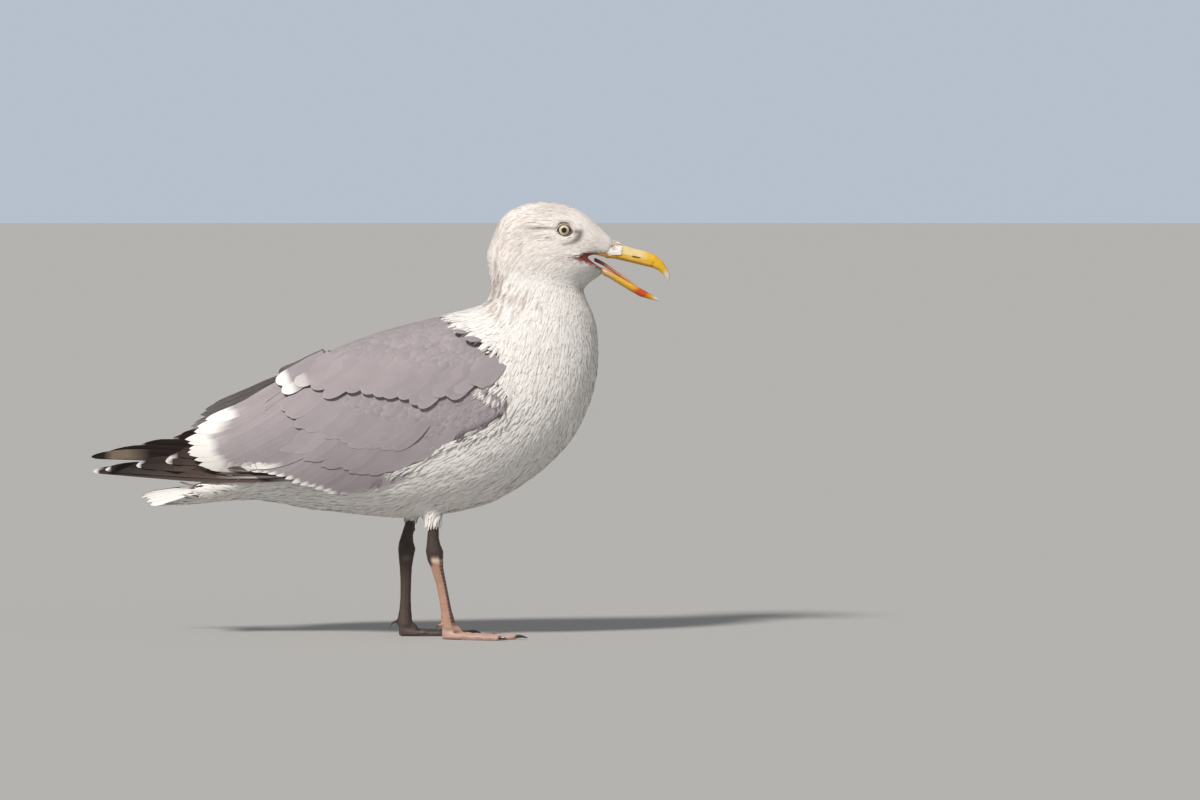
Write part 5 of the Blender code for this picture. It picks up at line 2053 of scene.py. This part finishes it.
@dataclass
class Bill:
    """The horn of both mandibles."""

    voxel: float = 0.36
    grow: float = 0.12
    tuck: float = 4.0
    nostril: tuple = (231.2, 342.8, 5.3, 0.95, -0.19)
    nostril_depth: float = 1.7

    # Outlines from the side, as (x, z).
    CULMEN = np.array(
        [(204, 357), (217.8, 353.7), (226.8, 351), (238.5, 348.3), (247.5, 344.7), (253.8, 339.3),
         (258.3, 333), (260.1, 326.7)]
    )
    TOMIUM = np.array(
        [(195.3, 343), (207, 341.6), (220.5, 339.3), (229.5, 336.6), (243, 333.9), (252, 331), (260, 324)]
    )
    LOWER_TOMIUM = np.array([(196.2, 338.4), (202.8, 334.4), (249.3, 306)])
    LOWER_EDGE = np.array(
        [(199.8, 326.7), (213, 319.6), (226.8, 312.3), (234, 307.4), (243, 305.2), (250.2, 303.6)]
    )

    GOLD = (0.80, 0.47, 0.045)
    DEEP_GOLD = (0.86, 0.50, 0.018)
    IVORY = (0.83, 0.66, 0.33)
    TIP = (0.80, 0.75, 0.58)
    PINK = (0.76, 0.47, 0.28)
    PALATE = (0.56, 0.22, 0.12)
    RED = (0.66, 0.065, 0.012)
    # the dark spots of the bill's own, and the painted shade inside the nostril
    MARK_AND_NOSTRIL_SHADE = (0.16, 0.07, 0.03)

    def horn(self, node_name: str, nodes: dict[str, Object]) -> Surface:
        """A finely faced copy of a mandible's solid."""
        surface = union([merged_node(nodes[node_name], self.grow)], self.voxel, 5)
        surface = surface.moved(-self.grow * 0.5)
        low = surface.points[:, 0].min()
        base = step(low + self.tuck, low, surface.points[:, 0])[:, None]
        into = np.array((-self.tuck, 0.0, 0.0)) + (surface.points * (0, -0.25, 0))
        return Surface.made(surface.points + base * into, surface.faces)

    def nostril_share(self, points: Points) -> Points:
        """How deep in the nostril's slit each point is, from 0 to 1."""
        x, z, half_length, half_height, tilt = self.nostril
        off_x, off_z = points[:, 0] - x, points[:, 2] - z
        run = off_x * math.cos(tilt) + off_z * math.sin(tilt)
        rise = off_z * math.cos(tilt) - off_x * math.sin(tilt)
        taper = half_height * (0.75 - 0.35 * run / half_length)
        return step(1.0, 0.25, (run / half_length) ** 2 + (rise / np.maximum(taper, 0.3)) ** 2)

    @staticmethod
    def risen(x: Points, z: Points, bottom: Points, top: Points) -> Points:
        """How high each place is between two outlines, as a share."""
        low = np.interp(x, *bottom.T)
        return np.clip((z - low) / np.maximum(np.interp(x, *top.T) - low, 1.0), 0, 1.2)

    @staticmethod
    def blob(points: Points, x: float, z: float, half_x: float, half_z: float) -> Points:
        """A soft spot seen from the side."""
        return np.exp(-(((points[:, 0] - x) / half_x) ** 2) - ((points[:, 2] - z) / half_z) ** 2)

    def upper(self, nodes: dict[str, Object]) -> Object:
        """The upper mandible, with its nostril and the groove along its edge."""
        surface = self.horn("bill_upper", nodes)
        x, _, z = surface.points.T
        rise = self.risen(x, z, self.TOMIUM, self.CULMEN)
        slit = self.nostril_share(surface.points)
        groove = np.exp(-(((rise - 0.36) / 0.07) ** 2)) * step(210, 216, x) * step(250, 242, x)
        surface = surface.moved(-self.nostril_depth * slit - 0.28 * groove)
        inner = step(-0.55, -0.85, surface.normals[:, 2]) * step(0.14, 0.02, rise) * step(250, 235, x)
        spots = 0.55 * self.blob(surface.points, 245.5, 338.0, 1.6, 1.0)
        spots += 0.5 * self.blob(surface.points, 244.4, 335.0, 1.1, 1.6)
        colours = coated(
            self.GOLD,
            (self.IVORY, step(0.3, 0.62, rise) * step(246, 232, x)),
            (self.DEEP_GOLD, step(236, 248, x) * 0.9),
            (self.PINK, 0.55 * step(222, 211, x) * step(0.35, 0.6, rise)),
            (self.TIP, step(8.5, 3.5, np.hypot(x - 259.6, (z - 323.0) * 0.8))),
            (self.PALATE, inner),
            # dark spots of the bill's own, and painted shade in the nostril's slit
            (self.MARK_AND_NOSTRIL_SHADE, np.clip(spots + 0.96 * slit, 0, 1)),
        )
        return painted_object("upper_mandible", surface, colours)

    def lower(self, nodes: dict[str, Object]) -> Object:
        """The lower mandible, with the red spot at its angle."""
        surface = self.horn("bill_lower", nodes)
        x, _, z = surface.points.T
        rise = self.risen(x, z, self.LOWER_EDGE, self.LOWER_TOMIUM)
        groove = np.exp(-(((rise - 0.60) / 0.08) ** 2)) * step(204, 212, x) * step(244, 236, x)
        surface = surface.moved(-0.2 * groove)
        inner = step(0.75, 0.9, surface.normals[:, 2]) * step(245, 232, x) * step(0.8, 0.95, rise)
        colours = coated(
            self.GOLD,
            (self.DEEP_GOLD, step(222, 240, x)),
            (self.PINK, 0.7 * step(216, 204, x)),
            (self.TIP, step(6.5, 2.5, np.hypot(x - 250.5, z - 305.0))),
            (self.RED, np.clip(1.35 * self.blob(surface.points, 235.5, 311.0, 7.6, 4.6), 0, 0.97)),
            (self.PALATE, inner),
        )
        return painted_object("lower_mandible", surface, colours)


@dataclass
class Mouth:
    """The tongue, the lining at the back of the open mouth and the bare edges of the gape."""

    form: Surface
    corner_x: float = 168.5
    front_x: float = 193.0
    hollow: float = 9.0
    edge_sunk: float = 0.1

    THROAT = (0.15, 0.022, 0.018)
    # The wedge's edges from the side, as (x, z).
    ROOF = np.array([(168.5, 344.3), (178, 345.4), (188, 346.2), (204, 345.2)])
    FLOOR = np.array([(168.5, 344.0), (178, 341.8), (188, 338.6), (200.5, 333.4)])
    # The bare edges: the middle line as (x, z), then the half height and half depth along it.
    UPPER_EDGE = (
        ((190.5, 345.6), (197, 345.0), (204, 343.9), (213, 342.6)),
        ((0.25, 0.2), (1.2, 0.45), (1.7, 0.55), (0.7, 0.25)),
    )
    LOWER_EDGE = (
        ((172, 343.2), (180, 340.8), (190, 337.0), (200.5, 332.6)),
        ((0.2, 0.15), (0.8, 0.45), (1.0, 0.5), (0.4, 0.2)),
    )

    def half_width(self, x: float) -> float:
        """The head's half width beside the mouth."""
        z = float(np.interp(x, *self.ROOF.T)) + 1.2
        return self.form.beside(np.array([[x, z]]), -1)[0][0, 1] * -1

    def lining(self) -> Object:
        """The folded skin that closes the mouth at its back, hollow towards the tongue."""
        shape = bmesh.new()
        bmesh.ops.create_cube(shape, size=2.0)
        bmesh.ops.subdivide_edges(shape, edges=shape.edges, cuts=20, use_grid_fill=True)
        widths = [(x, self.half_width(x)) for x in np.linspace(self.corner_x, self.front_x, 8)]
        stations, halves = np.array(widths).T
        for vert in shape.verts:
            across, run, rise = vert.co
            front = self.front_x + 4 * rise**2 - 6 * (1 - rise**2)
            front -= self.hollow * math.cos(across * math.pi / 2) ** 0.7
            x = self.corner_x + (front - self.corner_x) * (run + 1) / 2
            low = np.interp(x, *self.FLOOR.T) - 0.9
            high = np.interp(x, *self.ROOF.T) + 0.9
            bow = -1.0 * max(1 - rise**2, 0.0) * (abs(across) > 0.999) * (run + 1) / 2
            y = across * (np.interp(x, stations, halves) - 0.9 + bow)
            pleat = 0.16 * math.sin(x * 2.6 + 2.0 * rise)
            vert.co = (x, y + math.copysign(pleat, across), mixed(low, high, (rise + 1) / 2))
        bmesh.ops.recalc_face_normals(shape, faces=shape.faces)
        surface = surface_of(shape)
        share = step(self.corner_x + 4, self.front_x, surface.points[:, 0])
        return painted_object("mouth_lining", surface, coated(self.THROAT, (Tone.MOUTH, share)))

    def edge(self, name: str, route: Points, sizes: Points, tones: Sequence) -> Object:
        """A bare, fleshy edge along the side of the head, on both sides.

        Args:
            name: The object's name.
            route: Its middle line from the side, as (x, z).
            sizes: Its half height and half depth from its back to its front.
            tones: Its colour at the back and at the front.

        Returns:
            The object.
        """
        shares = np.linspace(0, 1, 28)
        flat = along(route, shares)
        rows = along(sizes, shares)
        whole, shading = [], []
        for side in Side:
            places, normals = self.form.beside(flat, side.value)
            surface = surface_of(swept(framed(places - normals * self.edge_sunk, normals, rows), 12))
            share = np.clip((surface.points[:, 0] - flat[0, 0]) / (flat[-1, 0] - flat[0, 0]), 0, 1)
            shading.append(coated(tones[0], (tones[1], share)))
            whole.append(surface)
        return painted_object(name, Surface.together(whole), np.concatenate(shading))

    def tongue(self, nodes: dict[str, Object]) -> Object:
        """The tongue, pale at its horny tip, with a furrow down its middle."""
        surface = union([merged_node(nodes["tongue"], 0.1)], 0.4, 6)
        x, y = surface.points[:, 0], surface.points[:, 1]
        furrow = np.exp(-((y / 0.8) ** 2)) * step(0.3, 0.8, surface.normals[:, 2])
        surface = surface.moved(0.4 - 0.5 * furrow)
        sunk = surface.points - np.outer(3.0 * step(x.min() + 2, x.min() + 26, x), (0, 0, 1))
        surface = Surface.made(sunk, surface.faces)
        colours = coated((0.42, 0.12, 0.10), ((0.66, 0.38, 0.28), step(x.min(), x.max(), x)))
        return painted_object("tongue_flesh", surface, colours)


@dataclass
class HeadParts:
    """Eyes, lids, bill and mouth."""

    nodes: dict[str, Object]
    form: Surface

    def build(self, effects: Effects) -> None:
        """Makes and dresses them all."""
        wet = FleshFinish("wet_flesh", 0.22).build(effects)
        bare = FleshFinish("bare_skin", 0.5, 700.0, 0.0001).build(effects)
        iris, horn = EyeFinish().build(effects), HornFinish("bill_horn").build(effects)
        for side in Side:
            name = "eye_" + side.word
            low, high = node_box(name)
            eye = Eye(side, (low + high) / 2, (high.x - low.x) / 2)
            placed(eye.ball(), iris, "eye", name)
            placed(eye.lids(), bare, "leg_skin")
        bill = Bill()
        placed(bill.upper(self.nodes), horn, "bill_horn", "bill_upper")
        placed(bill.lower(self.nodes), horn, "bill_horn", "bill_lower")
        mouth = Mouth(self.form)
        placed(mouth.tongue(self.nodes), wet, "mouth_lining", "tongue")
        placed(mouth.lining(), wet, "mouth_lining")
        placed(mouth.edge("gape_upper", *mouth.UPPER_EDGE, (Tone.PINK_GOLD, Bill.GOLD)), horn, "bill_horn")
        lip = mouth.edge("gape_lower", *mouth.LOWER_EDGE, (Tone.MOUTH, Tone.GAPE_PINK))
        placed(lip, bare, "mouth_lining")


@dataclass(frozen=True)
class Claws:
    """The claws, as smooth horn in place of their solids."""

    voxel: float = 0.24
    grow: float = 0.05
    swell: float = 0.1

    def build(self, nodes: dict[str, Object], effects: Effects) -> None:
        """Makes and dresses each claw."""
        horn = HornFinish("claw_horn", 0.3, (300.0, 300.0, 900.0), 0.00005, 0.8, 0.0).build(effects)
        for name in [name for name in nodes if name.startswith("claw_")]:
            shape = merged_node(nodes[name], self.grow)
            way, voxel = Vector((-0.8, 0, 0)), self.voxel
            if "hind" in name:
                root = max((vert.co for vert in shape.verts), key=lambda place: place.z).copy()
                at_root = Matrix.Translation(-root)
                bmesh.ops.scale(shape, verts=shape.verts, vec=(0.85, 0.95, 0.8), space=at_root)
                low, high = node_box(name.replace("claw_hind", "hallux"))
                way, voxel = ((low + high) / 2 - root).normalized() * 1.9, self.voxel * 0.6
            bmesh.ops.translate(shape, verts=shape.verts, vec=way)
            surface = union([shape], voxel, 3)
            height = surface.points[:, 2] - surface.points[:, 2].min()
            colours = coated((0.03, 0.022, 0.02), ((0.055, 0.04, 0.035), step(0.2, 2.5, height)))
            claw = painted_object(name + "_horn", surface.moved(self.swell), colours)
            placed(claw, horn, "claw_horn", name)


# ---------- the stage


@dataclass(frozen=True)
class Studio:
    """A plain pale floor, soft light and the camera."""

    distance: float = 6.5
    eye_height: float = 0.414
    aim_height: float = 0.2142
    across: float = 0.198
    lens: float = 216.7
    floor_radius: float = 60.0

    def build(self) -> None:
        """Sets up the floor, the lights and the camera."""
        self.lay_floor()
        self.light()
        self.set_camera()

    def lay_floor(self) -> None:
        """A wide round floor under the feet."""
        shape = bmesh.new()
        bmesh.ops.create_circle(shape, cap_ends=True, segments=96, radius=self.floor_radius / MM)
        floor = object_of("floor", shape, smooth=False)
        material = bpy.data.materials.new("pale floor")
        material.use_nodes = True
        shader = material.node_tree.nodes["Principled BSDF"]
        shader.inputs["Base Color"].default_value = (0.43, 0.425, 0.415, 1.0)
        shader.inputs["Roughness"].default_value = 0.9
        floor.data.materials.append(material)

    def light(self) -> None:
        """A wide soft key from above and behind the camera, and an even sky."""
        for name, energy, angle, way in (
            ("key", 3.45, 9.0, (0.42, 0.70, -0.74)),
            ("fill", 0.12, 60.0, (-0.55, 0.70, -0.35)),
        ):
            lamp = bpy.data.lights.new(name, "SUN")
            lamp.energy = energy
            lamp.color = (1.0, 0.965, 0.915)
            lamp.angle = math.radians(angle)
            holder = bpy.data.objects.new(name, lamp)
            holder.rotation_euler = Vector(way).to_track_quat("-Z", "Y").to_euler()
            bpy.context.scene.collection.objects.link(holder)
        world = bpy.data.worlds.new("sky")
        world.use_nodes = True
        tree = world.node_tree
        sky = tree.nodes["Background"]
        sky.inputs["Color"].default_value = (0.90, 0.92, 0.96, 1.0)
        sky.inputs["Strength"].default_value = 0.34
        wall = node(tree, "ShaderNodeBackground", {"Color": (0.47, 0.53, 0.61, 1.0)})
        seen = node(tree, "ShaderNodeLightPath").outputs["Is Camera Ray"]
        both = node(tree, "ShaderNodeMixShader", {0: seen, 1: sky.outputs[0], 2: wall.outputs[0]})
        tree.links.new(both.outputs[0], tree.nodes["World Output"].inputs["Surface"])
        bpy.context.scene.world = world

    def set_camera(self) -> None:
        """A long lens, low and level with the bird's side."""
        lens = bpy.data.cameras.new("camera")
        lens.lens = self.lens
        lens.sensor_width = 36.0
        lens.clip_end = 200.0
        camera = bpy.data.objects.new("camera", lens)
        tilt = math.atan((self.eye_height - self.aim_height) / self.distance)
        camera.location = (self.across, -self.distance, self.eye_height)
        camera.rotation_euler = (math.pi / 2 - tilt, 0, 0)
        bpy.context.scene.collection.objects.link(camera)
        bpy.context.scene.camera = camera
        bpy.context.scene.view_settings.view_transform = "Standard"


def main() -> None:
    """Builds the whole bird round the frame."""
    logging.basicConfig(level=logging.INFO, format="%(message)s")
    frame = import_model()
    rng = np.random.default_rng(SEED)
    nodes = frame["nodes"]
    eye_low, eye_high = node_box("eye_right")
    plan = Plan((eye_low + eye_high) / 2, rng)
    effects = Effects()
    skin = Skin(nodes, plan)
    skin.shape_body()
    skin.build(effects)
    Plumage(plan, skin).build(rng, effects)
    FlightFeathers(nodes, plan, skin.form).build(rng, effects)
    HeadParts(nodes, skin.form).build(effects)
    Claws().build(nodes, effects)
    Studio().build()


if __name__ == "__main__":
    main()
